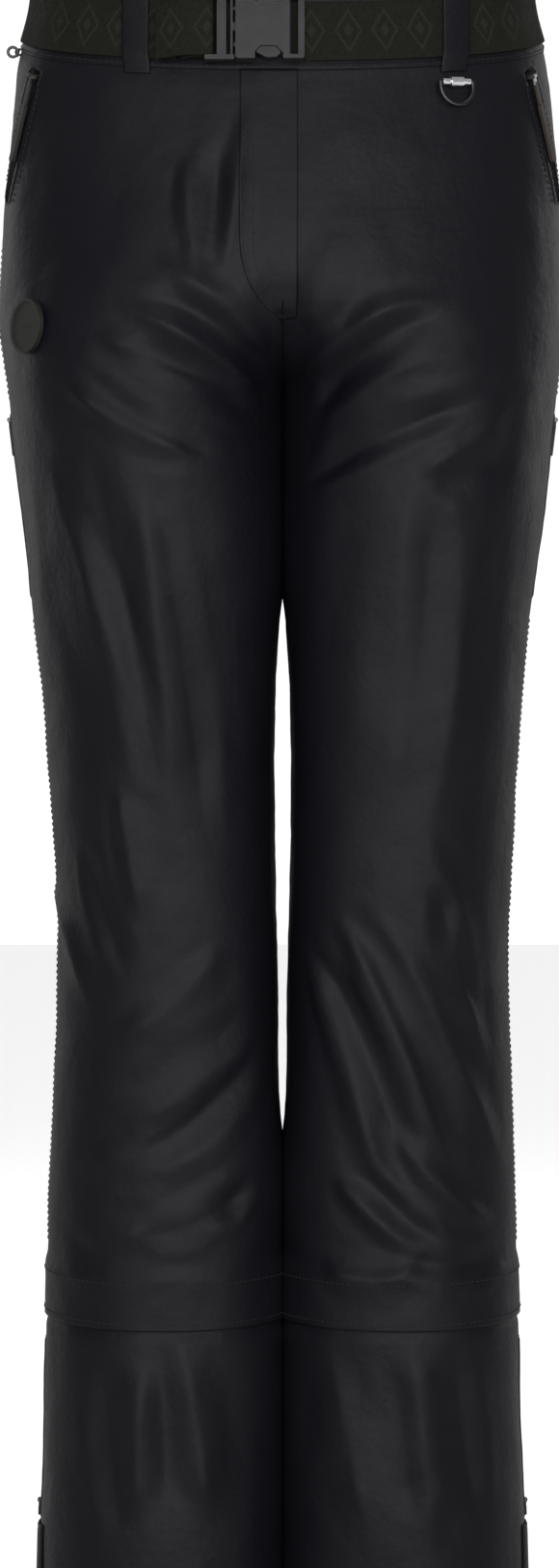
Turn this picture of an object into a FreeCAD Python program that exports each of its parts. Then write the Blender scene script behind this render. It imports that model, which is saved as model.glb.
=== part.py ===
"""Insulated ski pants with a webbing belt, held up by the waist.

Frame: millimetres, +Z up, +X to the wearer's left, -Y to the front. The origin is the centre of the
waist opening, level with the waistband's top edge at the two side seams.
A place on the garment is given by `down` (how far below the origin it is at the side seam), by `angle`
(0 at the side seam, positive round the front, negative round the back) and by `off`, the distance
outside the shell fabric's outer face.
"""
import FreeCAD, Part
import math
import os
from FreeCAD import Vector

# ---------------------------------------------------------------- driving dimensions, mm
OUTSEAM = 1076.0            # waistband's top edge to hem, along the side
WAIST_TILT = 0.27           # the waist edge is higher at the back than at the front
FLAP_TILT = 0.08            # the shin flap's edge dips towards the front
CROTCH = 285.0              # down to the crotch point
FORK = 160.0                # height over which the seat divides into two legs
SEAM_GAP = 0.1              # each half stops this far from the centre plane

SHELL = 2.5                 # shell fabric with its bonded insulation
LINING_OFF = (-14.6, -13.8)
WAISTBAND = 58.0            # waistband height
FLAP = (862.0, 896.0)       # shin flap, from its stitching to its free edge
SHIN_SEAM = 888.0           # where upper and lower leg panels meet, under the flap

BELT = (15.4, 52.6)         # 38 mm webbing
BELT_OFF = (1.0, 3.0)
LOOP_WIDTH = 17.0
LOOP_SPAN = (4.0, 66.0)
LOOP_OFF = 3.7              # how far a loop stands off the waistband to clear the webbing

BUCKLE_X = -18.0            # middle of the buckle
BUCKLE_DOWN = 34.0
ARM_STROKE = 14.0           # degrees that each latch arm bends inward on release
RELEASE = 9.0               # travel of the plug while the arms clear the windows

FLY_EDGE = 9.6              # the placket's free edge, on the wearer's left of centre
FLY_WIDTH = 37.0
FLY_BOTTOM = 243.0

# down, outer half-width, depth in front of the side seam, depth behind it
PROFILE = [
    (0.0, 163.0, 92.0, 98.0),
    (32.0, 166.0, 95.0, 104.0),
    (70.0, 175.5, 102.0, 114.0),
    (120.0, 180.0, 110.0, 126.0),
    (180.0, 186.0, 117.0, 136.0),
    (235.0, 187.5, 119.0, 138.0),
    (285.0, 182.0, 115.5, 131.0),
    (335.0, 176.5, 109.0, 120.0),
    (416.0, 166.5, 100.5, 107.0),
    (480.0, 159.5, 95.0, 98.0),
    (560.0, 154.5, 89.0, 86.0),
    (640.0, 149.5, 86.0, 79.0),
    (736.0, 151.5, 82.0, 83.0),
    (832.0, 155.0, 80.0, 87.0),
    (896.0, 156.5, 80.0, 87.0),
    (1076.0, 161.0, 85.0, 89.0),
]
# down, distance of the inseam from the centre plane
INSEAM = [
    (285.0, 0.4), (340.0, 0.4), (395.0, 0.4), (430.0, 1.6), (480.0, 4.2), (640.0, 4.3), (736.0, 1.8), (780.0, 0.5),
    (820.0, 0.4), (840.0, 0.8), (862.0, 2.3), (896.0, 2.3), (918.0, 0.8), (940.0, 0.4), (1076.0, 0.4),
]
SIDES = {"left": 1, "right": -1}     # the wearer's left is +X


# ---------------------------------------------------------------- the garment's surface
def along(table, column, down):
    """A table's column at `down`, on a smooth curve through its rows."""
    down = min(max(down, table[0][0]), table[-1][0])
    i = max(j for j in range(len(table) - 1) if table[j][0] <= down)
    step = table[i + 1][0] - table[i][0]

    def slope(j):
        low, high = max(j - 1, 0), min(j + 1, len(table) - 1)
        return (table[high][column] - table[low][column]) / (table[high][0] - table[low][0])

    s = (down - table[i][0]) / step
    a, b = table[i][column], table[i + 1][column]
    return ((2 * s**3 - 3 * s**2 + 1) * a + (s**3 - 2 * s**2 + s) * step * slope(i)
            + (3 * s**2 - 2 * s**3) * b + (s**3 - s**2) * step * slope(i + 1))


def inner_edge(down):
    """Where the leg's oval ends on the inside: left of the centre plane in the seat, right of it in the leg."""
    if down >= CROTCH:
        return along(INSEAM, 1, down)
    outer = along(PROFILE, 1, down)
    w = min((CROTCH - down) / FORK, 1.0)
    share = w**1.6 * (2.6 - 1.6 * w)
    return INSEAM[0][1] * (1 - share) - outer * share


def tilt(down):
    """Slope of the section plane: the waist's at the top, level from the crotch to the knee, the flap's below."""
    if down <= WAISTBAND:
        return WAIST_TILT
    if down < CROTCH:
        s = (down - WAISTBAND) / (CROTCH - WAISTBAND)
        return WAIST_TILT * (1 - s * s * (3 - 2 * s))
    if down < 736.0:
        return 0.0
    s = min((down - 736.0) / 100.0, 1.0) if down < FLAP[1] else max(1 - (down - FLAP[1]) / 120.0, 0.0)
    return FLAP_TILT * s * s * (3 - 2 * s)


def oval(down, off):
    """Centre x, half-width, front depth and back depth of the leg's oval."""
    outer, inner = along(PROFILE, 1, down), inner_edge(down)
    return ((outer + inner) / 2, (outer - inner) / 2 + off,
            along(PROFILE, 2, down) + off, along(PROFILE, 3, down) + off)


def last_angle(down, off):
    """The angle, in degrees, at which the oval meets the centre plane, or 180 at the inseam."""
    centre, half, _, _ = oval(down, off)
    return math.degrees(math.acos(max(-1.0, (SEAM_GAP - centre) / half)))


def point(side, down, angle, off=0.0):
    centre, half, front, back = oval(down, off)
    a = math.radians(angle)
    y = -(front if angle >= 0 else back) * math.sin(a)
    return Vector(side * (centre + half * math.cos(a)), y, -down + tilt(down) * y)


def angle_at_x(down, x, front=True):
    """The angle at which the shell is |x| from the centre plane."""
    centre, half, _, _ = oval(down, 0.0)
    a = math.degrees(math.acos(max(-1.0, min(1.0, (abs(x) - centre) / half))))
    return a if front else -a


def normal(side, down, angle):
    across = point(side, down, angle + 1) - point(side, down, angle - 1)
    along_leg = point(side, down + 2, angle) - point(side, down - 2, angle)
    n = across.cross(along_leg)
    n.normalize()
    outward = point(side, down, angle, 5.0) - point(side, down, angle)
    return n if n.dot(outward) > 0 else -n


# ---------------------------------------------------------------- sheets of cloth
def spline(points, closed=False):
    curve = Part.BSplineCurve()
    curve.interpolate(points, PeriodicFlag=closed)
    return curve.toShape()


def strip_section(side, down, start, end, off_out, off_in, count=9):
    """A closed outline across a sheet: its outer face, one edge, its inner face, the other edge."""
    def arc(off):
        a0, a1 = start(down, off), end(down, off)
        return [point(side, down, a0 + (a1 - a0) * i / (count - 1), off) for i in range(count)]

    outer, inner = arc(off_out), arc(off_in)
    return Part.Wire([
        spline(outer), Part.makeLine(outer[-1], inner[-1]),
        spline(inner[::-1]), Part.makeLine(inner[0], outer[0]),
    ])


def sheet(side, downs, start, end, off_out, off_in, count=9):
    """A sheet of cloth between two angles, through the given heights."""
    wires = [strip_section(side, d, start, end, off_out, off_in, count) for d in downs]
    return Part.makeLoft(wires, True, False)


def fixed(angle):
    return lambda down, off: angle


def steps(first, last, count):
    return [first + (last - first) * i / (count - 1) for i in range(count)]


def tube(side, downs, off_out, off_in):
    """A closed tube round one leg. The offsets may change with height."""
    def core(off):
        wires = []
        for d in downs:
            o = off(d) if callable(off) else off
            wires.append(Part.Wire(spline([point(side, d, a, o) for a in range(-180, 180, 15)], closed=True)))
        return Part.makeLoft(wires, True, False)
    return core(off_out).cut(core(off_in))


def waist_ring(downs, off_out, off_in):
    """A closed band round the whole waist."""
    def core(off):
        wires = []
        for d in downs:
            quarter = [point(1, d, a, off) for a in range(-90, 91, 15)]
            mirrored = [Vector(-p.x, p.y, p.z) for p in quarter[1:-1]][::-1]
            quarter[0].x = quarter[-1].x = 0.0
            wires.append(Part.Wire(spline(quarter + mirrored, closed=True)))
        return Part.makeLoft(wires, True, False)
    return core(off_out).cut(core(off_in))


SEAT_DOWNS = [WAISTBAND + 0.1, 90.0, 120.0, 155.0, 190.0, 220.0, 243.0, 260.0, 272.0, 280.0, CROTCH]
LEG_DOWNS = [CROTCH, 300.0, 320.0, 350.0, 395.0, 440.0, 490.0, 545.0, 600.0, 655.0, 710.0, 765.0, 815.0, 850.0,
             SHIN_SEAM - 0.1]


def quarter(side, front):
    """The space that one panel may fill: its own side of the centre plane and of the side seam."""
    x = SEAM_GAP if side > 0 else -300.0 - SEAM_GAP
    return Part.makeBox(300.0, 300.0, 1400.0, Vector(x, -300.0 if front else 0.0, -1200.0))


def upper_panel(side, front, off_out=0.0, off_in=-SHELL, top=SEAT_DOWNS[0], bottom=LEG_DOWNS[-1]):
    """A leg panel from the waistband to the shin: the seat part and the leg part meet at the crotch's level."""
    sign = 1 if front else -1
    seat = [max(d, top) for d in SEAT_DOWNS]
    leg = [d for d in LEG_DOWNS if d < bottom - 5] + [bottom]
    above = sheet(side, seat, fixed(0.0), lambda d, off: sign * last_angle(d, off), off_out, off_in, 13)
    below = sheet(side, leg, fixed(0.0), fixed(sign * 180.0), off_out, off_in, 13)
    return above.fuse(below).removeSplitter().common(quarter(side, front))


def lower_panel(side, front):
    sign = 1 if front else -1
    downs = [SHIN_SEAM, 900.0, 918.0, 945.0, 985.0, 1030.0, OUTSEAM]
    return sheet(side, downs, fixed(0.0), fixed(sign * 180.0), 0.0, -SHELL, 13).common(quarter(side, front))


def patch(rows, front=True, ruled=False):
    """A piece of cloth lying over the centre or beside it. Each row: down, left x, right x, outer and inner offset."""
    sign = -1 if front else 1

    def arc(down, left, right, off):
        centre, half, ahead, behind = oval(down, off)
        depth = ahead if front else behind
        top = math.sqrt(max(1 - (centre / half) ** 2, 0.0))
        points = []
        for i in range(9):
            x = left + (right - left) * i / 8
            reach = math.sqrt(max(1 - ((abs(x) - centre) / half) ** 2, 0.0))
            blend = math.exp(-(x / 9.0) ** 2)
            y = sign * depth * (reach * (1 - blend) + max(top, reach) * blend)
            points.append(Vector(x, y, -down + tilt(down) * y))
        return points

    wires = []
    for down, left, right, off_out, off_in in rows:
        outer, inner = arc(down, left, right, off_out), arc(down, left, right, off_in)
        wires.append(Part.Wire([spline(outer), Part.makeLine(outer[-1], inner[-1]),
                                spline(inner[::-1]), Part.makeLine(inner[0], outer[0])]))
    return Part.makeLoft(wires, True, ruled)


# ---------------------------------------------------------------- local frames for hardware
class Frame:
    """A place for a fitting: `x` across it, `n` out of the cloth, `z` up along it."""

    def __init__(self, origin, up, out):
        self.origin = origin
        self.z = Vector(up).normalize()
        self.n = (out - self.z * out.dot(self.z)).normalize()
        self.x = self.z.cross(self.n).normalize()

    def at(self, x, n, z):
        return self.origin + self.x * x + self.n * n + self.z * z

    def place(self, shape):
        """Moves a shape drawn with -Y outward and Z up into this frame."""
        turn = FreeCAD.Rotation(self.x, self.n * -1, self.z, "ZXY")
        moved = shape.copy()
        moved.Placement = FreeCAD.Placement(self.origin, turn).multiply(moved.Placement)
        return moved


def block(x, n, z, r=0.0):
    """A box given by its ranges across, outward and up, with its long edges rounded by r."""
    box = Part.makeBox(x[1] - x[0], n[1] - n[0], z[1] - z[0], Vector(x[0], -n[1], z[0]))
    if r:
        edges = [e for e in box.Edges if abs(e.tangentAt(e.FirstParameter).y) > 0.9]
        box = box.makeFillet(r, edges)
    return box


def plate(outline, n):
    """A plate cut to an outline in x and z, between two distances outward."""
    face = Part.Face(Part.makePolygon([Vector(x, -n[0], z) for x, z in outline + outline[:1]]))
    return face.extrude(Vector(0, n[0] - n[1], 0))


# ---------------------------------------------------------------- zips
TAPE = 0.8
COIL_GAP = 0.6
COIL_WIDE = 2.4
COIL = 1.5
SLOT_HALF = 5.2
SLIDER_LONG = 9.0
SLIDER_HALF = 3.8
PLATE = 1.0
PLAY = 0.25


class Zip:
    """A straight zip set behind a slot in the shell. `depth` is the tape's outer face below the cloth's face."""

    def __init__(self, frame, length, depth=-3.6, tape=11.0, closed_at="top", pull=24.0, pin_out=1.6):
        self.frame, self.length, self.depth, self.tape = frame, length, depth, tape
        self.pull_length = pull
        self.rest = -SLIDER_LONG / 2 - 1.0 if closed_at == "top" else -length + SLIDER_LONG / 2 + 6.5
        self.travel = length - SLIDER_LONG - (2.0 if closed_at == "top" else 7.5)
        self.axis = self.frame.z * (-1 if closed_at == "top" else 1)
        self.pin = (pin_out, self.rest + 1.0)       # outward from the cloth, and up

    def chain(self):
        tape, coil = (self.depth - TAPE, self.depth), (self.depth, self.depth + COIL)
        pieces = []
        for sign in (1, -1):
            def span(a, b):
                return (a, b) if sign > 0 else (-b, -a)
            pieces.append(block(span(COIL_GAP, self.tape), tape, (-self.length, 0.0)))
            pieces.append(block(span(COIL_GAP, COIL_GAP + COIL_WIDE), coil, (-self.length + 2.0, -2.0)))
        halves = [pieces[0].fuse(pieces[1]).removeSplitter(), pieces[2].fuse(pieces[3]).removeSplitter()]
        return Part.Compound([self.frame.place(h) for h in halves])

    def slider(self):
        top = self.depth + COIL + PLAY
        bottom = self.depth - TAPE - PLAY
        z = (self.rest - SLIDER_LONG / 2, self.rest + SLIDER_LONG / 2)
        body = block((-SLIDER_HALF, SLIDER_HALF), (top, top + PLATE), z, 1.4)
        body = body.fuse(block((-SLIDER_HALF, SLIDER_HALF), (bottom - PLATE, bottom), z, 1.4))
        body = body.fuse(block((-0.45, 0.45), (bottom - 0.2, top + 0.2), (z[1] - 4.0, z[1] - 1.0)))
        out, up = self.pin
        for sign in (1, -1):
            x = (1.6, 2.6) if sign > 0 else (-2.6, -1.6)
            body = body.fuse(block(x, (top + PLATE - 0.1, out + 1.0), (up - 1.4, up + 1.4)))
        pin = Part.makeCylinder(0.6, 4.0, Vector(-2.0, -out, up), Vector(1, 0, 0))
        return self.frame.place(body.fuse(pin).removeSplitter())

    def pull(self, grip=0.0):
        """A flat puller hanging from the slider's pin, with a longer moulded grip where grip is its length."""
        out, up = self.pin
        eye = Part.makeCylinder(1.5, 2.8, Vector(-1.4, -out, up), Vector(1, 0, 0))
        tongue = block((-1.4, 1.4), (out - 0.6, out + 0.6), (up - self.pull_length * 0.4, up - 0.8))
        tab = block((-2.6, 2.6), (out - 0.7, out + 0.7), (up - self.pull_length, up - 4.0), 1.2)
        hole = Part.makeCylinder(0.68, 4.0, Vector(-2.0, -out, up), Vector(1, 0, 0))
        pieces = eye.fuse([tongue, tab])
        if grip:
            low = up - self.pull_length - grip
            pieces = pieces.fuse(block((-3.1, 3.1), (out - 1.1, out + 1.1), (low, low + grip + 1.0), 2.2))
        return self.frame.place(pieces.removeSplitter().cut(hole))

    def slot(self, margin=0.0):
        """The cut that this zip needs through the shell."""
        return self.frame.place(block((-SLOT_HALF, SLOT_HALF), (-14.0, 12.0), (-self.length + 1.0 - margin, -1.0)))

    def pin_point(self):
        return self.frame.at(0.0, self.pin[0], self.pin[1])


def zip_between(side, high, low, **options):
    """A zip along the straight line between two places on the shell, each (down, angle)."""
    top, bottom = point(side, *high), point(side, *low)
    middle = (0.5 * (high[0] + low[0]), 0.5 * (high[1] + low[1]))
    out = normal(side, *middle)
    frame = Frame(top, top - bottom, out)
    return Zip(frame, (top - bottom).Length, **options)


FLY_RUN = 80.5              # the fly's slider stops here, before its pull meets the placket's curve


def make_zips():
    zips = {}
    for name, side in SIDES.items():
        zips["pocket_zip_" + name] = zip_between(side, (67.0, 23.0), (160.0, 9.0), depth=-5.2, tape=8.0,
                                               pull=20.0, pin_out=3.4)
        zips["vent_zip_" + name] = zip_between(side, (300.0, 0.0), (424.0, 0.0))
        zips["ankle_zip_" + name] = zip_between(side, (912.0, 0.0), (1034.0, 0.0), closed_at="bottom", pull=10.0)
    top, bottom = point(1, 64.0, 90.0), point(1, 190.0, 90.0)
    top.x = bottom.x = 0.0
    frame = Frame(top, top - bottom, Vector(0, -1, 0))
    zips["fly_zip"] = Zip(frame, (top - bottom).Length, depth=-6.8, pull=16.0, pin_out=-1.9)
    zips["fly_zip"].travel = FLY_RUN
    return zips


# ---------------------------------------------------------------- belt, loops and buckle
def buckle_frame():
    angle = angle_at_x(BUCKLE_DOWN, BUCKLE_X)
    origin = point(-1, BUCKLE_DOWN, angle)
    up = point(-1, BUCKLE_DOWN - 15, angle) - point(-1, BUCKLE_DOWN + 15, angle)
    return Frame(origin, Vector(0, up.y, up.z), Vector(0, -1, 0))


HALF_HIGH = 21.7            # buckle's half height
FOLD = [                    # the webbing's fold round the plug's bar: x from the buckle's middle, and outward
    (-26.9, 2.0), (-26.9, 9.3), (-42.5, 9.3), (-50.0, 7.0), (-64.0, -1.6), (-64.0, -3.2), (-50.5, 5.4), (-43.0, 7.6),
    (-28.6, 7.6), (-28.6, 3.6), (-40.5, 3.6), (-47.0, -1.4), (-47.0, -3.2), (-40.0, 2.0),
]
DEEP = (2.4, 12.8)          # buckle's back and front, outward from the shell
BAR = (3.9, 7.1)            # back and front of the two bars that the webbing turns round
MOUTH = -12.5               # where the socket begins, from the buckle's middle
WINDOW = (0.3, 18.2)        # the latch windows
ARM_ROOT = (-12.5, 12.0)    # pivot of each arm


def buckle_socket():
    middle = sum(DEEP) / 2
    body = block((MOUTH, 32.3), DEEP, (-HALF_HIGH, HALF_HIGH), 2.0)
    body = body.cut(block((22.7, 27.9), (-5, 20), (-19.0, 19.0)))
    body = body.cut(block((27.8, 40.0), (BAR[1], 20), (-19.0, 19.0)))
    body = body.cut(block((27.8, 40.0), (-5, BAR[0]), (-19.0, 19.0)))
    body = body.cut(block((MOUTH - 5, 20.5), (middle - 3.4, middle + 3.4), (-17.5, 17.5)))
    for sign in (1, -1):
        notch = plate([(WINDOW[0], sign * 30), (WINDOW[0], sign * 17.0), (WINDOW[0] + 3.5, sign * 13.2),
                       (WINDOW[1] - 4.5, sign * 13.2), (WINDOW[1], sign * 18.0), (WINDOW[1], sign * 30)], (-5, 20))
        body = body.cut(notch)
    return body


def buckle_plug():
    middle = sum(DEEP) / 2
    rails = [block((-32.3, -13.0), (BAR[0], middle + 2.6), z, 0.8)
             for z in ((18.5, HALF_HIGH), (-HALF_HIGH, -18.5))]
    bars = [block((-32.3, -29.4), BAR, (-19.0, 19.0)),
            block((-24.4, -18.4), (middle - 1.8, middle + 2.4), (-19.0, 19.0))]
    face = block((-15.6, -14.2), (middle - 2.6, middle + 2.6), (-19.0, 19.0))
    guide = block((-15.0, 14.0), (middle - 2.4, middle + 2.4), (-2.6, 2.6))
    return rails[0].fuse([rails[1], *bars, face, guide]).removeSplitter()


def buckle_arm(sign):
    """One latch arm: a round root, a beam and a head whose finger pad fills the socket's window."""
    middle = sum(DEEP) / 2
    x0, z0 = ARM_ROOT
    root = Part.makeCylinder(1.5, 5.6, Vector(x0, -(middle + 2.8), sign * z0), Vector(0, 1, 0))
    outline = [(x0, z0 - 1.5), (x0 + 12, z0 - 1.3), (15.0, 10.6), (17.0, 12.6), (17.0, 17.6), (14.0, 20.2),
               (8.0, 20.5), (6.5, 20.0), (5.0, 19.2), (3.0, 18.1), (1.0, 17.2), (0.2, 14.6), (x0, z0 + 1.5)]
    beam = plate([(x, sign * z) for x, z in outline], (middle - 2.8, middle + 2.8))
    return root.fuse(beam).removeSplitter()


def belt_webbing(frame):
    """Elastic webbing round the waist, from behind the socket's bar to just short of the fold at the plug."""
    ring = waist_ring(steps(BELT[0], BELT[1], 6), BELT_OFF[1], BELT_OFF[0])
    left_end, right_end = BUCKLE_X - 48.0, BUCKLE_X + 24.5
    ring = ring.cut(Part.makeBox(right_end - left_end, 160.0, 300.0, Vector(left_end, -180.0, -150.0)))
    rail = block((20.0, 33.5), (-1.0, 14.0), (-26.0, -18.6))    # clears the socket's lower rail
    return ring.cut(frame.place(rail)).removeSplitter()


def belt_fold(frame):
    """The webbing's end, turned over the plug's outer bar. It moves with the plug."""
    fold = Part.Face(Part.makePolygon([Vector(x, -n, -18.3) for x, n in FOLD + FOLD[:1]]))
    return frame.place(fold.extrude(Vector(0, 0, 36.6)))


def belt_loop(x, front=True):
    """A loop over the belt: sewn flat to the garment above and below, and standing off it between."""
    top, bottom = LOOP_SPAN
    left, right = x - LOOP_WIDTH / 2, x + LOOP_WIDTH / 2
    high = (LOOP_OFF + 1.5, LOOP_OFF)
    rows = [(top, 1.8, 0.3), (top + 5, 1.8, 0.3), (top + 9.5, *high), (34.0, *high), (bottom - 11.5, *high),
            (bottom - 7, 1.8, 0.3), (bottom, 1.8, 0.3)]
    return patch([(down, left, right, out, inn) for down, out, inn in rows], front, ruled=True)


# ---------------------------------------------------------------- D-ring, badge, snap, fly and hems
RING_WIDE = 26.0
RING_WIRE = 1.4
RING_OUT = 4.2              # the ring's plane, outward from the shell
RING_X, RING_DOWN = 111.0, 70.4


def surface_frame(side, down, angle):
    """A frame on the shell, with z up along it."""
    up = point(side, down - 6, angle) - point(side, down + 6, angle)
    return Frame(point(side, down, angle), up, normal(side, down, angle))


def d_ring_frame():
    """The ring's bar lies just below the foot of the wearer's left front loop."""
    return surface_frame(1, RING_DOWN, angle_at_x(RING_DOWN, RING_X))


def d_ring(frame):
    """The bent wire, and the flat bar that closes it and carries it."""
    half = RING_WIDE / 2 - RING_WIRE
    left, right = Vector(-half, -RING_OUT, 0), Vector(half, -RING_OUT, 0)
    corner_l, corner_r = Vector(-half, -RING_OUT, -4), Vector(half, -RING_OUT, -4)
    path = Part.Wire([Part.makeLine(left, corner_l),
                      Part.Arc(corner_l, Vector(0, -RING_OUT, -15.2), corner_r).toShape(),
                      Part.makeLine(corner_r, right)])
    ring = path.makePipeShell([Part.Wire(Part.makeCircle(RING_WIRE, left, Vector(0, 0, -1)))], True, False)
    for x in (-half, half):
        ring = ring.fuse(Part.makeSphere(RING_WIRE, Vector(x, -RING_OUT, 0)))
    rod = Part.makeCylinder(RING_WIRE, 2 * half, Vector(-half, -RING_OUT, 0), Vector(1, 0, 0))
    sleeve = Part.makeCylinder(2.3, 2 * half - 2 * RING_WIRE - 0.6,
                               Vector(-half + RING_WIRE + 0.3, -RING_OUT, 0), Vector(1, 0, 0))
    return frame.place(ring.fuse(rod)), frame.place(sleeve.cut(rod))


def d_ring_tab(frame):
    """A short strap on the waist seam, folded round the ring's sleeve."""
    outer = Part.makeCylinder(3.5, 9.0, Vector(-4.5, -RING_OUT, 0), Vector(1, 0, 0))
    strap = block((-4.5, 4.5), (0.7, 1.9), (-2.0, 2.9))
    bore = Part.makeCylinder(2.65, 9.0, Vector(-4.5, -RING_OUT, 0), Vector(1, 0, 0))
    return frame.place(outer.fuse(strap).removeSplitter().cut(bore))


def badge():
    """A round rubber patch on the wearer's right hip, with a raised rim and one bar across it."""
    down, x = 247.0, 165.0
    angle = angle_at_x(down, x)
    frame = surface_frame(-1, down, angle)
    disc = Part.makeCylinder(17.0, 3.0, Vector(0, 0, 0), Vector(0, -1, 0))
    rim = Part.makeCylinder(18.0, 3.6, Vector(0, 0, 0), Vector(0, -1, 0))
    rim = rim.cut(Part.makeCylinder(15.6, 5.0, Vector(0, 0, 0), Vector(0, -1, 0)))
    solid = frame.place(disc.fuse([rim, block((-4.5, 4.5), (2.0, 3.6), (-1.0, 1.0))]).removeSplitter())
    under = sheet(-1, [205.0, 225.0, 247.0, 268.0, 284.0], fixed(angle - 22), fixed(angle + 22), 0.15, -12.0)
    return solid.cut(under)


def fly_left(down):
    """The J of the placket's stitched edge."""
    start = FLY_BOTTOM - 60.0
    s = max(0.0, min((down - start) / 60.0, 1.0))
    return FLY_EDGE - 5.0 - (FLY_WIDTH - 5.0) * math.sqrt(max(1 - s * s, 0.0))


def side_ring():
    """A small cord ring on the wearer's right side seam, just under the belt."""
    frame = surface_frame(-1, 61.0, 3.0)
    ring = Part.makeTorus(3.2, 1.0, Vector(0, -5.6, 0), Vector(1, 0, 0))
    stalk = block((-1.0, 1.0), (1.3, 2.4), (-2.2, 2.2))
    return frame.place(ring.fuse(stalk).removeSplitter())


# ---------------------------------------------------------------- the whole garment
def build():
    nodes = {}
    zips = make_zips()

    for name, side in SIDES.items():
        front, back = upper_panel(side, True), upper_panel(side, False)
        low_front, low_back = lower_panel(side, True), lower_panel(side, False)
        front = front.cut(zips["pocket_zip_" + name].slot()).cut(zips["fly_zip"].slot(2.0))
        vent, ankle = zips["vent_zip_" + name].slot(), zips["ankle_zip_" + name].slot()
        nodes["front_panel_" + name] = front.cut(vent)
        nodes["back_panel_" + name] = back.cut(vent)
        nodes["lower_front_panel_" + name] = low_front.cut(ankle)
        nodes["lower_back_panel_" + name] = low_back.cut(ankle)
        nodes["shin_flap_" + name] = tube(side, steps(FLAP[0], FLAP[1], 4), 1.9, 0.4)

        window = Part.makeBox(60.0, 200.0, 230.0, Vector(-30.0, -220.0, -222.0))
        lining = [upper_panel(side, f, LINING_OFF[1], LINING_OFF[0]) for f in (True, False)]
        nodes["lining_" + name] = lining[0].cut(window).fuse(lining[1]).removeSplitter()
        nodes["snow_gaiter_" + name] = tube(
            side, [905.0, 950.0, 1000.0, 1040.0],
            lambda d: -9.0 - 14.0 * (d - 905.0) / 135.0, lambda d: -10.2 - 14.0 * (d - 905.0) / 135.0)
        nodes["hem_tab_" + name] = sheet(side, steps(1036.0, 1074.0, 3), fixed(-16.0), fixed(16.0), 3.0, 1.4)
        nodes["pocket_bag_" + name] = sheet(side, steps(68.0, 215.0, 7), fixed(4.0), fixed(52.0), -11.4, -12.2)

    fly_gap = Part.makeBox(0.6, 200.0, 200.0, Vector(FLY_EDGE - 0.3, -220.0, -150.0))
    nodes["waistband"] = waist_ring(steps(0.0, WAISTBAND, 5), 0.0, -SHELL).cut(fly_gap)
    nodes["waistband_facing"] = waist_ring(steps(1.0, WAISTBAND - 1.0, 5), -SHELL - 0.2, -SHELL - 2.0).cut(fly_gap)

    frame = buckle_frame()
    nodes["belt_webbing"] = belt_webbing(frame)
    nodes["belt_fold"] = belt_fold(frame)
    nodes["buckle_socket"] = frame.place(buckle_socket())
    nodes["buckle_plug"] = frame.place(buckle_plug())
    nodes["buckle_arm_upper"] = frame.place(buckle_arm(1))
    nodes["buckle_arm_lower"] = frame.place(buckle_arm(-1))

    nodes["belt_loop_front_left"] = belt_loop(111.0)
    nodes["belt_loop_front_right"] = belt_loop(-94.0)
    nodes["belt_loop_back_left"] = belt_loop(105.0, front=False)
    nodes["belt_loop_back_right"] = belt_loop(-105.0, front=False)
    nodes["belt_loop_back_centre"] = belt_loop(0.0, front=False)

    ring_frame = d_ring_frame()
    nodes["d_ring"], nodes["d_ring_sleeve"] = d_ring(ring_frame)
    nodes["d_ring_tab"] = d_ring_tab(ring_frame)
    nodes["hip_badge"] = badge()
    nodes["side_ring"] = side_ring()

    placket = [(d, fly_left(d), FLY_EDGE, 1.9, 0.4) for d in steps(WAISTBAND + 1.0, FLY_BOTTOM, 9)]
    shield = [(d, -26.0, 26.0, -11.0, -12.2) for d in steps(WAISTBAND + 1.0, 214.0, 7)]
    nodes["fly_placket"], nodes["fly_shield"] = patch(placket), patch(shield)

    snap_frame = surface_frame(1, 30.0, angle_at_x(30.0, 24.0))
    cap = Part.makeCylinder(6.0, 0.6, Vector(0, -0.1, 0), Vector(0, -1, 0))
    stud = Part.makeCylinder(5.0, 2.0, Vector(0, 7.2, 0), Vector(0, -1, 0))
    nodes["waist_snap"] = Part.Compound([snap_frame.place(cap), snap_frame.place(stud)])

    for name, item in zips.items():
        nodes[name] = item.chain()
        nodes[name + "_slider"] = item.slider()
        nodes[name + "_pull"] = item.pull(grip=38.0 if name.startswith("pocket") else 0.0)
    return nodes


def main():
    os.makedirs("parts", exist_ok=True)
    for old in os.listdir("parts"):
        os.remove(os.path.join("parts", old))
    for name, shape in build().items():
        solids = shape.Solids
        whole = solids[0] if len(solids) == 1 else Part.Compound(solids)
        print(f"{name:28s} solids {len(solids)}  valid {whole.isValid()}  {sum(s.Volume for s in solids) / 1000:9.2f} cm3")
        whole.exportStep(f"parts/{name}.step")


main()
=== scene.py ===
import math
import bmesh
import bpy
import numpy as np
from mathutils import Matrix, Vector, noise


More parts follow.
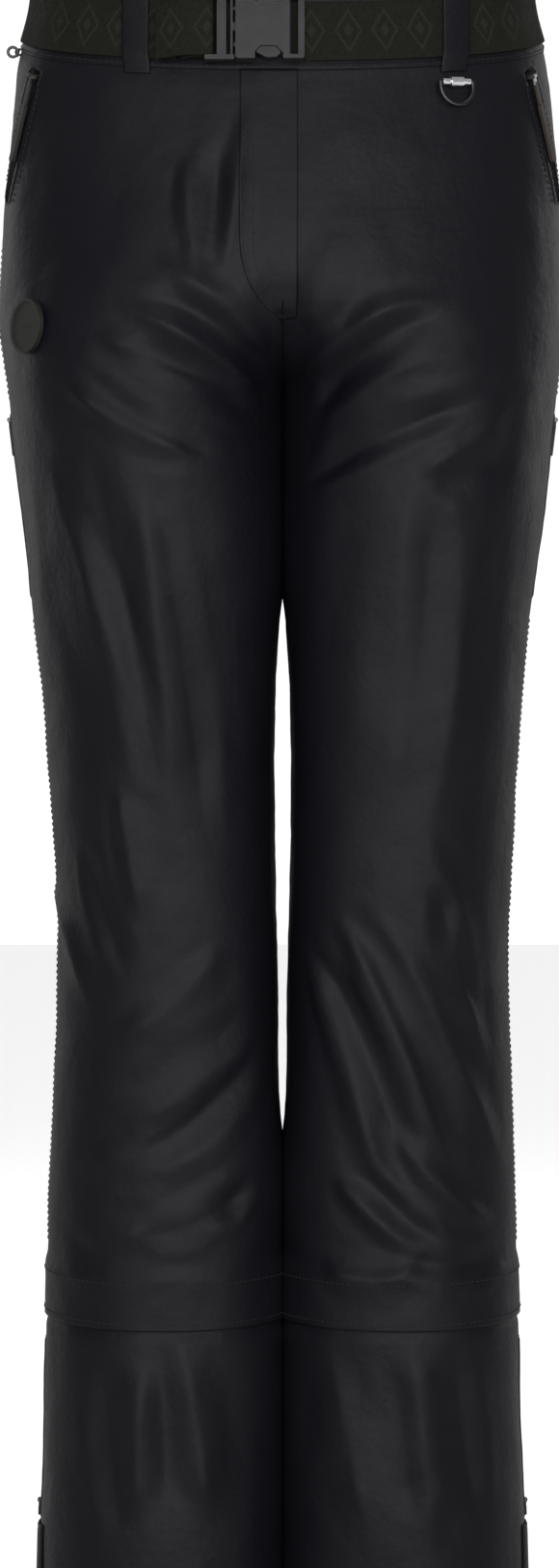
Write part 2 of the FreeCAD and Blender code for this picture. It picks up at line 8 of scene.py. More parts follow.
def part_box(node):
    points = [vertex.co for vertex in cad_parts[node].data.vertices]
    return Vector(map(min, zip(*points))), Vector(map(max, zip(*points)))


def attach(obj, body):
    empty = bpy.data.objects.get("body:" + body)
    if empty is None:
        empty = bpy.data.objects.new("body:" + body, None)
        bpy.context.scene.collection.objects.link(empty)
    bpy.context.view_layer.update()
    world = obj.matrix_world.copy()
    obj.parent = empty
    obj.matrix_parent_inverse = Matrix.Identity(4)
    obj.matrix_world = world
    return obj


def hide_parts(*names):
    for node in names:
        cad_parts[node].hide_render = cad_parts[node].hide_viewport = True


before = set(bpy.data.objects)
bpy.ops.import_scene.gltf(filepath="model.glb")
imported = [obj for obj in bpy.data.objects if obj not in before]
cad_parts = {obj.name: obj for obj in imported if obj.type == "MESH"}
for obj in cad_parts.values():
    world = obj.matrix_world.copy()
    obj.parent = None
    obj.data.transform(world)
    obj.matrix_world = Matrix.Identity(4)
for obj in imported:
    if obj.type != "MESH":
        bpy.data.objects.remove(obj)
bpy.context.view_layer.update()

MM = 0.001

# ---------------------------------------------------------------- camera, light and floor
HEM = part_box("lower_front_panel_left")[0][2]            # the lowest point of the garment, metres
EYE_ASIDE, EYE_HEIGHT = -0.002, -0.5466                 # level with the middle of the picture
DISTANCE = 3.5
PICTURE_HEIGHT = 1.042                                  # metres of the garment's mid plane in the picture
SENSOR = 36.0                                           # mm
WORLD_LIGHT, WORLD_SEEN = 0.30, 1.06            # strength of the surroundings as a light, and as seen
FLOOR_LIFT = 0.6                                        # keeps the floor as pale as the surroundings
FLOOR_RADIUS, FLOOR_SIDES, FLOOR_GAP = 14.0, 96, 0.003
LAMPS_AIM = (0.0, 0.0, -0.5)
LAMPS = {                                               # place and size in metres, power in watts
    "key_left": ((-1.5, -3.1, 0.0), (1.2, 2.4), 40.0),
    "key_right": ((1.4, -3.2, 0.0), (1.2, 2.4), 52.0),
    "front": ((0.1, -3.8, 0.2), (1.6, 1.8), 66.0),
    "top": ((0.0, -1.2, 2.8), (1.8, 1.2), 22.0),
    "behind_left": ((-2.2, 2.4, 0.6), (0.8, 2.4), 14.0),
    "behind_right": ((2.2, 2.4, 0.6), (0.8, 2.4), 14.0),
}


def make_stage():
    scene = bpy.context.scene
    camera = bpy.data.objects.new("camera", bpy.data.cameras.new("camera"))
    scene.collection.objects.link(camera)
    camera.location = (EYE_ASIDE, -DISTANCE, EYE_HEIGHT)
    camera.rotation_euler = (math.pi / 2, 0.0, 0.0)
    camera.data.sensor_width = SENSOR
    camera.data.lens = SENSOR * DISTANCE / PICTURE_HEIGHT
    camera.data.clip_start, camera.data.clip_end = 0.1, 60.0
    scene.camera = camera

    white = principled("stage_white", (0.95, 0.95, 0.95), 0.9, specular=0.1)
    n = Nodes(white)
    n.shader.inputs["Emission Color"].default_value = (1.0, 1.0, 1.0, 1.0)
    seen = n.add("ShaderNodeLightPath").outputs["Is Camera Ray"]
    n.out("Emission Strength", n.math("MULTIPLY", seen, FLOOR_LIFT))
    turns = np.linspace(0, math.tau, FLOOR_SIDES, endpoint=False)
    rim = [(FLOOR_RADIUS * math.cos(a), FLOOR_RADIUS * math.sin(a), HEM - FLOOR_GAP) for a in turns]
    mesh = bpy.data.meshes.new("floor")
    mesh.from_pydata(rim, [], [tuple(range(FLOOR_SIDES))])
    mesh.materials.append(white)
    ground = bpy.data.objects.new("floor", mesh)
    scene.collection.objects.link(ground)

    for name, (spot, size, power) in LAMPS.items():
        lamp = bpy.data.lights.new(name, "AREA")
        lamp.shape, lamp.energy = "RECTANGLE", power
        lamp.size, lamp.size_y = size
        obj = bpy.data.objects.new(name, lamp)
        obj.location = spot
        obj.rotation_euler = (Vector(LAMPS_AIM) - obj.location).to_track_quat("-Z", "Y").to_euler()
        scene.collection.objects.link(obj)
    scene.world = studio_world()
    scene.view_settings.view_transform = "Standard"


def studio_world():
    """White behind the object, but weaker as a light, so that the lamps shape the folds."""
    world = bpy.data.worlds.new("world")
    world.use_nodes = True
    tree = world.node_tree
    lit, seen = tree.nodes["Background"], tree.nodes.new("ShaderNodeBackground")
    lit.inputs["Color"].default_value = seen.inputs["Color"].default_value = (1.0, 1.0, 1.0, 1.0)
    lit.inputs["Strength"].default_value, seen.inputs["Strength"].default_value = WORLD_LIGHT, WORLD_SEEN
    path, mix = tree.nodes.new("ShaderNodeLightPath"), tree.nodes.new("ShaderNodeMixShader")
    tree.links.new(path.outputs["Is Camera Ray"], mix.inputs[0])
    tree.links.new(lit.outputs[0], mix.inputs[1])
    tree.links.new(seen.outputs[0], mix.inputs[2])
    tree.links.new(mix.outputs[0], tree.nodes["World Output"].inputs["Surface"])
    return world


# ---------------------------------------------------------------- materials
def principled(name, color, rough, metallic=0.0, specular=0.5, sheen=0.0, sheen_rough=0.5):
    mat = bpy.data.materials.new(name)
    mat.use_nodes = True
    shader = mat.node_tree.nodes["Principled BSDF"]
    shader.inputs["Base Color"].default_value = (*color, 1.0)
    shader.inputs["Roughness"].default_value = rough
    shader.inputs["Metallic"].default_value = metallic
    shader.inputs["Specular IOR Level"].default_value = specular
    shader.inputs["Sheen Weight"].default_value = sheen
    shader.inputs["Sheen Roughness"].default_value = sheen_rough
    return mat


class Nodes:
    """Short calls for building a material's node tree."""

    def __init__(self, mat):
        self.tree = mat.node_tree
        self.shader = self.tree.nodes["Principled BSDF"]

    def add(self, kind, inputs=None, **settings):
        node = self.tree.nodes.new(kind)
        for key, value in settings.items():
            setattr(node, key, value)
        for key, value in (inputs or {}).items():
            if isinstance(value, bpy.types.NodeSocket):
                self.tree.links.new(value, node.inputs[key])
            else:
                node.inputs[key].default_value = value
        return node

    def coords(self):
        return self.add("ShaderNodeTexCoord").outputs["Object"]

    def cloth_uv(self):
        return self.add("ShaderNodeUVMap", uv_map="cloth").outputs["UV"]

    def math(self, kind, a, b=0.0):
        return self.add("ShaderNodeMath", {0: a, 1: b}, operation=kind).outputs[0]

    def noise(self, vector, scale, detail=3.0, rough=0.55):
        inputs = {"Vector": vector, "Scale": scale, "Detail": detail, "Roughness": rough}
        return self.add("ShaderNodeTexNoise", inputs).outputs[0]

    def ramp(self, value, low, high, to_low=0.0, to_high=1.0):
        inputs = {"Value": value, "From Min": low, "From Max": high, "To Min": to_low, "To Max": to_high}
        return self.add("ShaderNodeMapRange", inputs).outputs[0]

    def mix_color(self, fac, a, b):
        return self.add("ShaderNodeMix", {0: fac, 6: a, 7: b}, data_type="RGBA").outputs[2]

    def bump(self, height, strength, distance, below=None):
        inputs = {"Height": height, "Strength": strength, "Distance": distance}
        if below:
            inputs["Normal"] = below
        return self.add("ShaderNodeBump", inputs).outputs[0]

    def waves(self, value, period):
        return self.math("SINE", self.math("MULTIPLY", value, math.tau / period))

    def out(self, socket, value):
        self.tree.links.new(value, self.shader.inputs[socket])


def woven(name, dark, light, rough, pitch, specular=0.4, crinkle=0.25):
    """Plain-woven cloth: crossed threads, a fine crinkle, and slow changes of tone."""
    mat = principled(name, dark, rough, specular=specular)
    n = Nodes(mat)
    split, obj = n.add("ShaderNodeSeparateXYZ", {0: n.cloth_uv()}), n.coords()
    threads = n.math("MULTIPLY", n.waves(split.outputs[0], pitch), n.waves(split.outputs[1], pitch))
    fine, soft = n.noise(obj, 260.0, 4.0, 0.6), n.noise(obj, 45.0, 2.0, 0.5)
    tone = n.noise(obj, 9.0, 3.0, 0.6)
    weave = n.bump(threads, 0.16, 0.00025)
    crinkled = n.bump(fine, crinkle, 0.0012, weave)
    n.out("Normal", n.bump(soft, crinkle, 0.004, crinkled))
    n.out("Base Color", n.mix_color(n.ramp(tone, 0.3, 0.7), (*dark, 1.0), (*light, 1.0)))
    n.out("Roughness", n.ramp(fine, 0.2, 0.8, rough - 0.05, rough + 0.07))
    return mat


def plastic(name, color, rough, grain=900.0, strength=0.12):
    mat = principled(name, color, rough, specular=0.25)
    n = Nodes(mat)
    obj = n.coords()
    wear = n.noise(obj, 60.0, 4.0, 0.65)
    lighter = tuple(min(1.0, c * 1.35 + 0.003) for c in color)
    n.out("Normal", n.bump(n.noise(obj, grain, 2.0), strength, 0.0002))
    n.out("Base Color", n.mix_color(n.ramp(wear, 0.35, 0.75), (*color, 1.0), (*lighter, 1.0)))
    n.out("Roughness", n.ramp(wear, 0.3, 0.8, rough - 0.06, rough + 0.1))
    return mat


def metal(name, color, rough):
    """Brushed metal, a little tarnished."""
    mat = principled(name, color, rough, metallic=1.0)
    n = Nodes(mat)
    obj = n.coords()
    stretched = n.add("ShaderNodeMapping", {"Vector": obj, "Scale": (60.0, 60.0, 900.0)})
    brush = n.noise(stretched.outputs[0], 4.0, 3.0)
    tarnish = n.ramp(n.noise(obj, 110.0, 3.0), 0.45, 0.8)
    darker = tuple(c * 0.7 for c in color)
    n.out("Normal", n.bump(brush, 0.08, 0.0002))
    n.out("Roughness", n.ramp(brush, 0.2, 0.8, rough - 0.07, rough + 0.1))
    n.out("Base Color", n.mix_color(tarnish, (*color, 1.0), (*darker, 1.0)))
    return mat


RIB_PITCH, DIAMOND_PITCH = 0.0011, 0.024                # metres along the webbing
CORDS_ACROSS = 24


def webbing_material():
    """Elastic webbing: cross ribs over lengthwise cords, and a woven tonal row of plain diamonds."""
    mat = principled("webbing", (0.006, 0.006, 0.0045), 0.75, specular=0.1)
    n = Nodes(mat)
    split = n.add("ShaderNodeSeparateXYZ", {0: n.cloth_uv()})
    along, across = split.outputs[0], split.outputs[1]  # metres, across from -0.5 to 0.5 of the width
    ribs, cords = n.waves(along, RIB_PITCH), n.waves(across, 1 / CORDS_ACROSS)
    bump = n.bump(n.math("ADD", ribs, n.math("MULTIPLY", cords, 0.6)), 0.45, 0.00035)
    cell = n.math("SUBTRACT", n.math("FRACT", n.math("DIVIDE", along, DIAMOND_PITCH)), 0.5)
    diamond = n.math("ADD", n.math("ABSOLUTE", cell), n.math("ABSOLUTE", across))
    outer = n.math("LESS_THAN", n.math("ABSOLUTE", n.math("SUBTRACT", diamond, 0.34)), 0.045)
    pattern = n.math("MAXIMUM", outer, n.math("LESS_THAN", diamond, 0.13))
    mottle = n.ramp(n.noise(n.coords(), 420.0, 3.0), 0.3, 0.7)
    base = n.mix_color(mottle, (0.0042, 0.0043, 0.0028, 1.0), (0.0070, 0.0072, 0.0046, 1.0))
    n.out("Base Color", n.mix_color(n.math("MULTIPLY", pattern, 0.85), base, (0.0115, 0.0118, 0.0085, 1.0)))
    n.out("Normal", n.bump(pattern, 0.5, 0.0004, bump))
    return mat


# ---------------------------------------------------------------- the garment's surface, in millimetres
# The frame's sections: how far down, outer half-width, depth in front, depth behind.
PROFILE = np.array([
    (0.0, 163.0, 92.0, 98.0),
    (32.0, 166.0, 95.0, 104.0),
    (70.0, 175.5, 102.0, 114.0),
    (120.0, 180.0, 110.0, 126.0),
    (180.0, 186.0, 117.0, 136.0),
    (235.0, 187.5, 119.0, 138.0),
    (285.0, 182.0, 115.5, 131.0),
    (335.0, 176.5, 109.0, 120.0),
    (416.0, 166.5, 100.5, 107.0),
    (480.0, 159.5, 95.0, 98.0),
    (560.0, 154.5, 89.0, 86.0),
    (640.0, 149.5, 86.0, 79.0),
    (736.0, 151.5, 82.0, 83.0),
    (832.0, 155.0, 80.0, 87.0),
    (896.0, 156.5, 80.0, 87.0),
    (1076.0, 161.0, 85.0, 89.0),
])
INSEAM = np.array([
    (285.0, 0.4), (340.0, 0.4), (395.0, 0.4), (430.0, 1.6), (480.0, 4.2), (640.0, 4.3), (736.0, 1.8),
    (780.0, 0.5),
    (820.0, 0.4), (840.0, 0.8), (862.0, 2.3), (896.0, 2.3), (918.0, 0.8), (940.0, 0.4), (1076.0, 0.4),
])
WAISTBAND, CROTCH, FORK, SEAM_GAP = 58.0, 285.0, 160.0, 0.1
SQUARE = 0.28               # how much squarer than an oval the legs are where they face each other
SQUARE_FROM, SQUARE_OVER = 290.0, 90.0
SEAM_CLOSED = -0.12         # the two legs press together this far past the centre plane
WAIST_TILT, FLAP_TILT = 0.27, 0.08
KNEE, FLAP_EDGE = 736.0, 896.0
WAIST_TILT_END = 500.0
SIDES = {"left": 1, "right": -1}
AHEAD = np.array([0.0, -1.0, 0.0])


def along(table, column, down):
    """A table's column at `down`, on a smooth curve through its rows."""
    xs, ys = table[:, 0], table[:, column]
    down = np.clip(down, xs[0], xs[-1])
    i = np.clip(np.searchsorted(xs, down, side="right") - 1, 0, len(xs) - 2)
    low, high = np.maximum(np.arange(len(xs)) - 1, 0), np.minimum(np.arange(len(xs)) + 1, len(xs) - 1)
    slopes = (ys[high] - ys[low]) / (xs[high] - xs[low])
    step = xs[i + 1] - xs[i]
    s = (down - xs[i]) / step
    return ((2 * s**3 - 3 * s**2 + 1) * ys[i] + (s**3 - 2 * s**2 + s) * step * slopes[i]
            + (3 * s**2 - 2 * s**3) * ys[i + 1] + (s**3 - s**2) * step * slopes[i + 1])


def smooth(s):
    s = np.clip(s, 0.0, 1.0)
    return s * s * (3 - 2 * s)


def inner_edge(down):
    outer = along(PROFILE, 1, down)
    w = np.clip((CROTCH - down) / FORK, 0.0, 1.0)
    share = w**1.6 * (2.6 - 1.6 * w)
    return np.where(down >= CROTCH, along(INSEAM, 1, down), INSEAM[0, 1] * (1 - share) - outer * share)


def tilt(down):
    top = WAIST_TILT * (1 - smooth((down - WAISTBAND) / (CROTCH - WAISTBAND)))
    low = np.where(down < FLAP_EDGE, smooth((down - KNEE) / 100.0), smooth(1 - (down - FLAP_EDGE) / 120.0))
    return np.where(down < WAIST_TILT_END, top, FLAP_TILT * low)


def oval(down, off):
    outer, inner = along(PROFILE, 1, down), inner_edge(down)
    return ((outer + inner) / 2, (outer - inner) / 2 + off,
            along(PROFILE, 2, down) + off, along(PROFILE, 3, down) + off)


def last_angle(down, off=0.0):
    centre, half, _, _ = oval(down, off)
    return np.degrees(np.arccos(np.clip((SEAM_GAP - centre) / half, -1.0, 1.0)))


def point(side, down, angle, off=0.0):
    """Points on the bare surface, (..., 3) in millimetres."""
    down, angle = np.broadcast_arrays(np.asarray(down, float), np.asarray(angle, float))
    centre, half, front, back = oval(down, off)
    a = np.radians(angle)
    inward = (np.abs(angle) > 90) * smooth((down - SQUARE_FROM) / SQUARE_OVER)
    y = -np.where(angle >= 0, front, back) * np.sign(a) * np.abs(np.sin(a)) ** (1 - SQUARE * inward)
    return np.stack([side * (centre + half * np.cos(a)), y, -down + tilt(down) * y], axis=-1)


def normal(side, down, angle):
    across = point(side, down, np.asarray(angle) + 1.0) - point(side, down, np.asarray(angle) - 1.0)
    lengthwise = point(side, np.asarray(down) + 2.0, angle) - point(side, np.asarray(down) - 2.0, angle)
    n = np.cross(across, lengthwise)
    n /= np.linalg.norm(n, axis=-1, keepdims=True)
    outward = point(side, down, angle, 5.0) - point(side, down, angle)
    return n * np.sign((n * outward).sum(-1, keepdims=True))


def raised(side, down, angle, height):
    """Points `height` mm off the bare surface, straight outward."""
    return point(side, down, angle) + normal(side, down, angle) * np.asarray(height)[..., None]


def own_side(side, pts, least=SEAM_CLOSED):
    """Keeps points on the leg's own side of the centre plane."""
    pts[..., 0] = side * np.maximum(pts[..., 0] * side, least)
    return pts


def by_side(place, x, *values):
    """A grid of points, found by `place` for the wearer's left (x from 0 up) and then for the right."""
    x, *values = np.broadcast_arrays(*(np.asarray(v, float) for v in (x, *values)))
    pts = np.empty(x.shape + (3,))
    for side in SIDES.values():
        here = (x >= 0) == (side > 0)
        pts[here] = place(side, x[here], *(v[here] for v in values))
    return pts


def angle_at_x(down, x, front=True):
    centre, half, _, _ = oval(np.asarray(down, float), 0.0)
    a = np.degrees(np.arccos(np.clip((np.abs(x) - centre) / half, -1.0, 1.0)))
    return a if front else -a


def run_along(pts):
    """The length along a line of points, at each of them."""
    return np.concatenate([[0], np.cumsum(np.linalg.norm(np.diff(pts, axis=0), axis=1))])


def spaced(last, *spans):
    """Numbers in steps: each span is (from, to, step), and `last` ends them."""
    return np.concatenate([np.arange(*span) for span in spans] + [[last]])


# ---------------------------------------------------------------- folds
# Folds come in fans: `count` of them, ridge and crease in turn, spread evenly from a first to a last one.
# A fold runs from one place on the leg to another. A place is (mm down, share of the leg's width from the
# inseam at 0 to the side seam at 1), and `bow` is how many mm its middle hangs below the straight line.
FRONT_FANS = {
    "left": [
        # count, height, half-width, first from, first to, last from, last to, bow
        (4, 4.2, 8.0, (278, 0.06), (228, 0.60), (345, 0.12), (286, 0.74), -10.0),  # from the fork to the hip
        (2, 2.0, 11.0, (170, 0.16), (250, 0.10), (190, 0.34), (266, 0.22), 5.0),        # beside the fly
        (2, 3.0, 11.0, (330, 0.50), (290, 0.80), (345, 0.60), (320, 0.85), 6.0),        # upper thigh
        (3, 3.2, 16.0, (345, 0.45), (590, 0.40), (350, 0.75), (560, 0.65), 0.0),        # down the thigh
        (5, 4.6, 9.0, (655, 0.06), (822, 0.48), (612, 0.28), (800, 0.90), -26.0),  # from the inner knee
        (3, 4.2, 7.0, (770, 0.40), (825, 0.85), (790, 0.20), (845, 0.60), 8.0),  # across the upper shin
        (3, 3.6, 8.0, (590, 0.60), (655, 0.92), (625, 0.78), (730, 0.90), 5.0),         # outer knee
        (2, 2.8, 9.0, (835, 0.15), (838, 0.55), (842, 0.55), (835, 0.90), 7.0),         # bunched on the flap
        (4, 3.6, 11.0, (903, 0.25), (1040, 0.35), (903, 0.72), (1035, 0.78), 0.0),      # below the flap
    ],
    "right": [
        (4, 4.2, 8.0, (270, 0.06), (202, 0.46), (305, 0.12), (268, 0.70), -12.0),
        (3, 2.6, 7.5, (84, 0.13), (215, 0.15), (120, 0.32), (228, 0.26), 6.0),
        (3, 3.6, 8.0, (262, 0.70), (300, 0.20), (300, 0.72), (340, 0.25), 9.0),
        (4, 3.6, 12.0, (345, 0.80), (540, 0.50), (330, 0.50), (600, 0.30), 8.0),
        (4, 4.6, 9.5, (655, 0.20), (728, 0.76), (712, 0.06), (790, 0.78), 12.0),
        (4, 4.6, 8.5, (742, 0.20), (812, 0.88), (792, 0.10), (840, 0.66), 8.0),
        (3, 3.8, 8.0, (555, 0.70), (640, 0.56), (610, 0.97), (700, 0.80), 5.0),
        (2, 2.8, 9.0, (832, 0.20), (838, 0.60), (845, 0.50), (838, 0.85), 6.0),
        (4, 3.6, 11.0, (903, 0.35), (1035, 0.28), (903, 0.78), (1040, 0.68), 0.0),
    ],
}
BACK_FANS = [
    (3, -4.2, 9.0, (305, 0.10), (300, 0.90), (360, 0.08), (345, 0.75), 22.0),           # under the seat
    (2, 2.6, 10.0, (262, 0.40), (252, 0.90), (280, 0.15), (288, 0.80), 10.0),           # on the seat
    (3, 2.8, 15.0, (380, 0.75), (560, 0.65), (390, 0.35), (540, 0.40), 0.0),            # behind the thigh
    (5, -4.8, 7.0, (598, 0.12), (588, 0.90), (706, 0.10), (690, 0.85), 14.0),           # behind the knee
    (3, 3.4, 9.0, (745, 0.85), (845, 0.45), (790, 0.20), (855, 0.50), 6.0),             # calf
    (3, 2.8, 11.0, (908, 0.35), (1035, 0.45), (908, 0.75), (1020, 0.75), 0.0),          # below the flap
]
# Places that stay smooth for the hardware: x, y, z of two ends, and the clear radius, in mm.
CALM = [
    ((181, 0, -298), (165, 0, -426), 14), ((158, 0, -908), (161, 0, -1040), 12),
    ((160, -45, -74), (184, -22, -165), 15), ((111, -70, -84), (111, -74, -104), 20),
    ((0, -98, -80), (0, -112, -170), 6),
]
BADGE_PLACE, BADGE_CLEAR = np.array((-165.0, -42.0, -247.0)), 20.0
STRAY = (30.0, 0.12)    # how far a fold's ends stray from even spacing: mm down, and share of the width
SIZE_STRAY, BOW_STRAY = 0.9, 16.0
CREASE = -0.85                  # depth of a crease for a ridge of 1


def folds_of(side):
    """Every fold of one leg: height, half-width, its two ends, its bow, and whether it is in front."""
    where = {1: "left", -1: "right"}[side]
    for fans, front in ((FRONT_FANS[where], True), (BACK_FANS, False)):
        for count, height, width, from_first, to_first, from_last, to_last, bow in fans:
            for i in range(count):
                t = i / max(count - 1, 1)
                seed = count * 3.7 + i * 1.9
                stray = [noise.noise(Vector((seed, height * k, side * 2.3 + k))) for k in range(1, 7)]
                start = [a + (b - a) * t + s * n
                         for a, b, s, n in zip(from_first, from_last, STRAY, stray[0:2])]
                end = [a + (b - a) * t + s * n for a, b, s, n in zip(to_first, to_last, STRAY, stray[2:4])]
                size = height * (1.0 + SIZE_STRAY * stray[4]) * (1.0 if i % 2 == 0 else CREASE)
                yield size, width, start, end, bow + BOW_STRAY * stray[5], front


def fold_field(side, down, angle):
    """How far each point stands out from the bare surface, in mm."""
    base, out = point(side, down, angle), normal(side, down, angle)
    flat, n = base.reshape(-1, 3), out.reshape(-1, 3)
    total = np.zeros(len(flat))
    for index, (height, width, start, end, bow, front) in enumerate(folds_of(side)):
        total += one_fold(flat, n, height, width, fold_line(start, end, bow, front, side), side, index)
    for *ends, radius in CALM:
        p, q = (np.array(end, float) * (1 if end[0] == 0 else side, 1, 1) for end in ends)
        t = np.clip(((flat - p) @ (q - p)) / ((q - p) @ (q - p)), 0, 1)
        gap = np.linalg.norm(flat - (p + t[:, None] * (q - p)), axis=1)
        total *= smooth((gap - radius) / 22.0)
    if side < 0:
        total *= smooth((np.linalg.norm(flat - BADGE_PLACE, axis=1) - BADGE_CLEAR) / 18.0)
    return total.reshape(base.shape[:-1])


def fold_line(start, end, bow, front, side, steps=14):
    """A fold's line as points on the bare surface, with their outward directions."""
    t = np.linspace(0, 1, steps)
    down = start[0] + (end[0] - start[0]) * t + bow * 4 * t * (1 - t)
    share = start[1] + (end[1] - start[1]) * t
    inner = np.maximum(inner_edge(down), 0.0)
    angle = angle_at_x(down, inner + share * (along(PROFILE, 1, down) - inner), front)
    return point(side, down, angle), normal(side, down, angle)


def one_fold(flat, n, height, width, line, side, index):
    """How far one fold lifts each point, from the point's distance to the fold's line."""
    pts, ups = line
    reach = 3.2 * width
    low, high = pts.min(0) - reach, pts.max(0) + reach
    near = np.where(((flat > low) & (flat < high)).all(1))[0]
    result = np.zeros(len(flat))
    if not len(near):
        return result
    p = flat[near]
    best = np.full(len(p), 1e9)
    share, sign = np.zeros(len(p)), np.zeros(len(p))
    lengths = np.linalg.norm(pts[1:] - pts[:-1], axis=1)
    start = np.concatenate([[0], np.cumsum(lengths)])
    for k in range(len(pts) - 1):
        a, b = pts[k], pts[k + 1]
        ab = b - a
        t = np.clip(((p - a) @ ab) / max(ab @ ab, 1e-9), 0, 1)
        gap = p - (a + t[:, None] * ab)
        dist = np.linalg.norm(gap, axis=1)
        closer = dist < best
        best[closer] = dist[closer]
        share[closer] = ((start[k] + t * lengths[k]) / start[-1])[closer]
        sign[closer] = np.sign((np.cross(ab, gap) * ups[k]).sum(1))[closer]
    ends = smooth(share / 0.24) * smooth((1 - share) / 0.3)                 # it fades out at both ends,
    thickness = 0.65 + 0.5 * np.sin(np.pi * np.clip(share, 0.02, 0.98))     # is widest in the middle,
    lively = 0.8 + 0.45 * np.array([noise.noise(Vector((s * 3.1, index * 2.3, side))) for s in share])
    lean = 0.28 * noise.noise(Vector((index * 5.1, 0.3, side * 1.7))) * 2   # and leans to one side
    w = width * thickness * (1 + lean * sign * np.tanh(best / width))
    if height > 0:                                                          # a ridge between two dips
        shape = np.exp(-((best / w) ** 2)) * 0.7 + 0.3 / (1 + (best / (0.6 * w)) ** 2) ** 2
        shape -= 0.22 * np.exp(-(((best - 1.9 * w) / (0.8 * w)) ** 2))
    else:                                                                   # a crease between two swells
        shape = np.exp(-np.abs(best / w) ** 1.35)
        shape -= 0.4 * np.exp(-(((best - 1.7 * w) / (0.8 * w)) ** 2))
    facing = np.clip((n[near] * ups[len(ups) // 2]).sum(1) * 2 + 0.4, 0, 1)
    result[near] = height * shape * ends * lively * facing
    return result


def fuzz(points, size, seed):
    """Smooth noise from -1 to 1 with bumps of about `size` mm."""
    flat = points.reshape(-1, 3) / size + seed * 7.31
    values = np.array([noise.noise(Vector(p)) for p in flat])
    return values.reshape(points.shape[:-1])


def zip_frame(side, high, low):
    """The straight line of a zip: its two ends, its length and its outward direction."""
    top, bottom = point(side, *high), point(side, *low)
    out = normal(side, 0.5 * (high[0] + low[0]), 0.5 * (high[1] + low[1]))
    up = (top - bottom) / np.linalg.norm(top - bottom)
    out = out - up * (out @ up)
    out /= np.linalg.norm(out)
    return {"top": top, "up": up, "out": out, "x": np.cross(up, out), "long": np.linalg.norm(top - bottom)}


ZIPS = {}
for SIDE_NAME, SIDE in SIDES.items():
    for kind, ends, depth, tape in (("pocket", ((67.0, 23.0), (160.0, 9.0)), -5.2, 8.0),
                                    ("vent", ((300.0, 0.0), (424.0, 0.0)), -3.6, 11.0),
                                    ("ankle", ((912.0, 0.0), (1034.0, 0.0)), -3.6, 11.0)):
        ZIPS[f"{kind}_zip_{SIDE_NAME}"] = {**zip_frame(SIDE, *ends), "depth": depth, "tape": tape,
                                           "side": SIDE}
SLOT_HALF, LIP = 5.2, 8.6       # half-width of a zip's groove, and out to the raised edge beside it


def slots(side, pts):
    """The grooves for the zips, with a raised lip at each edge, in mm along the surface's normal."""
    flat = pts.reshape(-1, 3)
    total = np.zeros(len(flat))
    for item in ZIPS.values():
        if item["side"] != side:
            continue
        rel = flat - item["top"]
        across, up, out = np.abs(rel @ item["x"]), -(rel @ item["up"]), rel @ item["out"]
        ends = smooth((up - 0.5) / 1.5) * smooth((item["long"] - 0.5 - up) / 1.5) * (np.abs(out) < 25)
        wall = 1 - smooth((across - SLOT_HALF + 0.5) / 1.0)
        lip = smooth((across - SLOT_HALF + 0.2) / 0.9) * (1 - smooth((across - LIP) / 1.2))
        total += ends * (wall * (item["depth"] - 3.6) + 0.8 * lip)
    return total.reshape(pts.shape[:-1])


def relief(side, down, angle, grooves=True):
    """Folds, slow unevenness, seam puckers and zip grooves: the cloth's distance off the bare surface."""
    down, angle = np.broadcast_arrays(np.asarray(down, float), np.asarray(angle, float))
    base = point(side, down, angle)
    total = fold_field(side, down, angle)
    total = total + fuzz(base, 75.0, 1) * 1.6 + fuzz(base * (1.0, 1.0, 0.7), 24.0, 2) * 0.55
    pucker = fuzz(base, 9.0, 3) * 0.35
    for at, width in ((0.0, 5.0), (180.0, 6.0)):        # the side seam and the inseam
        gap = np.abs(np.abs(angle) - at)
        total = total - 0.7 * np.exp(-((gap / 0.55) ** 2)) + pucker * np.exp(-((gap / width) ** 2))
    centre = np.abs(base[..., 0])
    total = np.where(down < CROTCH + 15, total * (0.25 + 0.75 * smooth((centre - 1) / 14.0)), total)
    total = total - 0.8 * np.exp(-((centre / 1.4) ** 2)) * (1 - smooth((down - 200.0) / 25.0))
    # where the legs touch, the cloth is pressed toward the centre plane
    touch = smooth((down - 222.0) / 22.0) * (1 - smooth((down - 400.0) / 45.0))
    touch = touch + smooth((down - 762.0) / 45.0)
    touch = touch + 1.1 * smooth((down - 850.0) / 8.0) * (1 - smooth((down - 905.0) / 12.0))
    press = 2.6 * np.exp(-((centre / 9.0) ** 2)) - np.minimum(total, 0) * np.exp(-((centre / 12.0) ** 2))
    total = total + touch * press
    total = total * smooth((down - 56.0) / 16.0) * (1 - 0.6 * smooth((down - 1058.0) / 14.0))
    return total + slots(side, base) if grooves else total


def cloth(side, down, angle, off=0.0):
    """Points of the draped cloth, `off` mm above it."""
    down, angle = np.broadcast_arrays(np.asarray(down, float), np.asarray(angle, float))
    return own_side(side, raised(side, down, angle, relief(side, down, angle) + off))


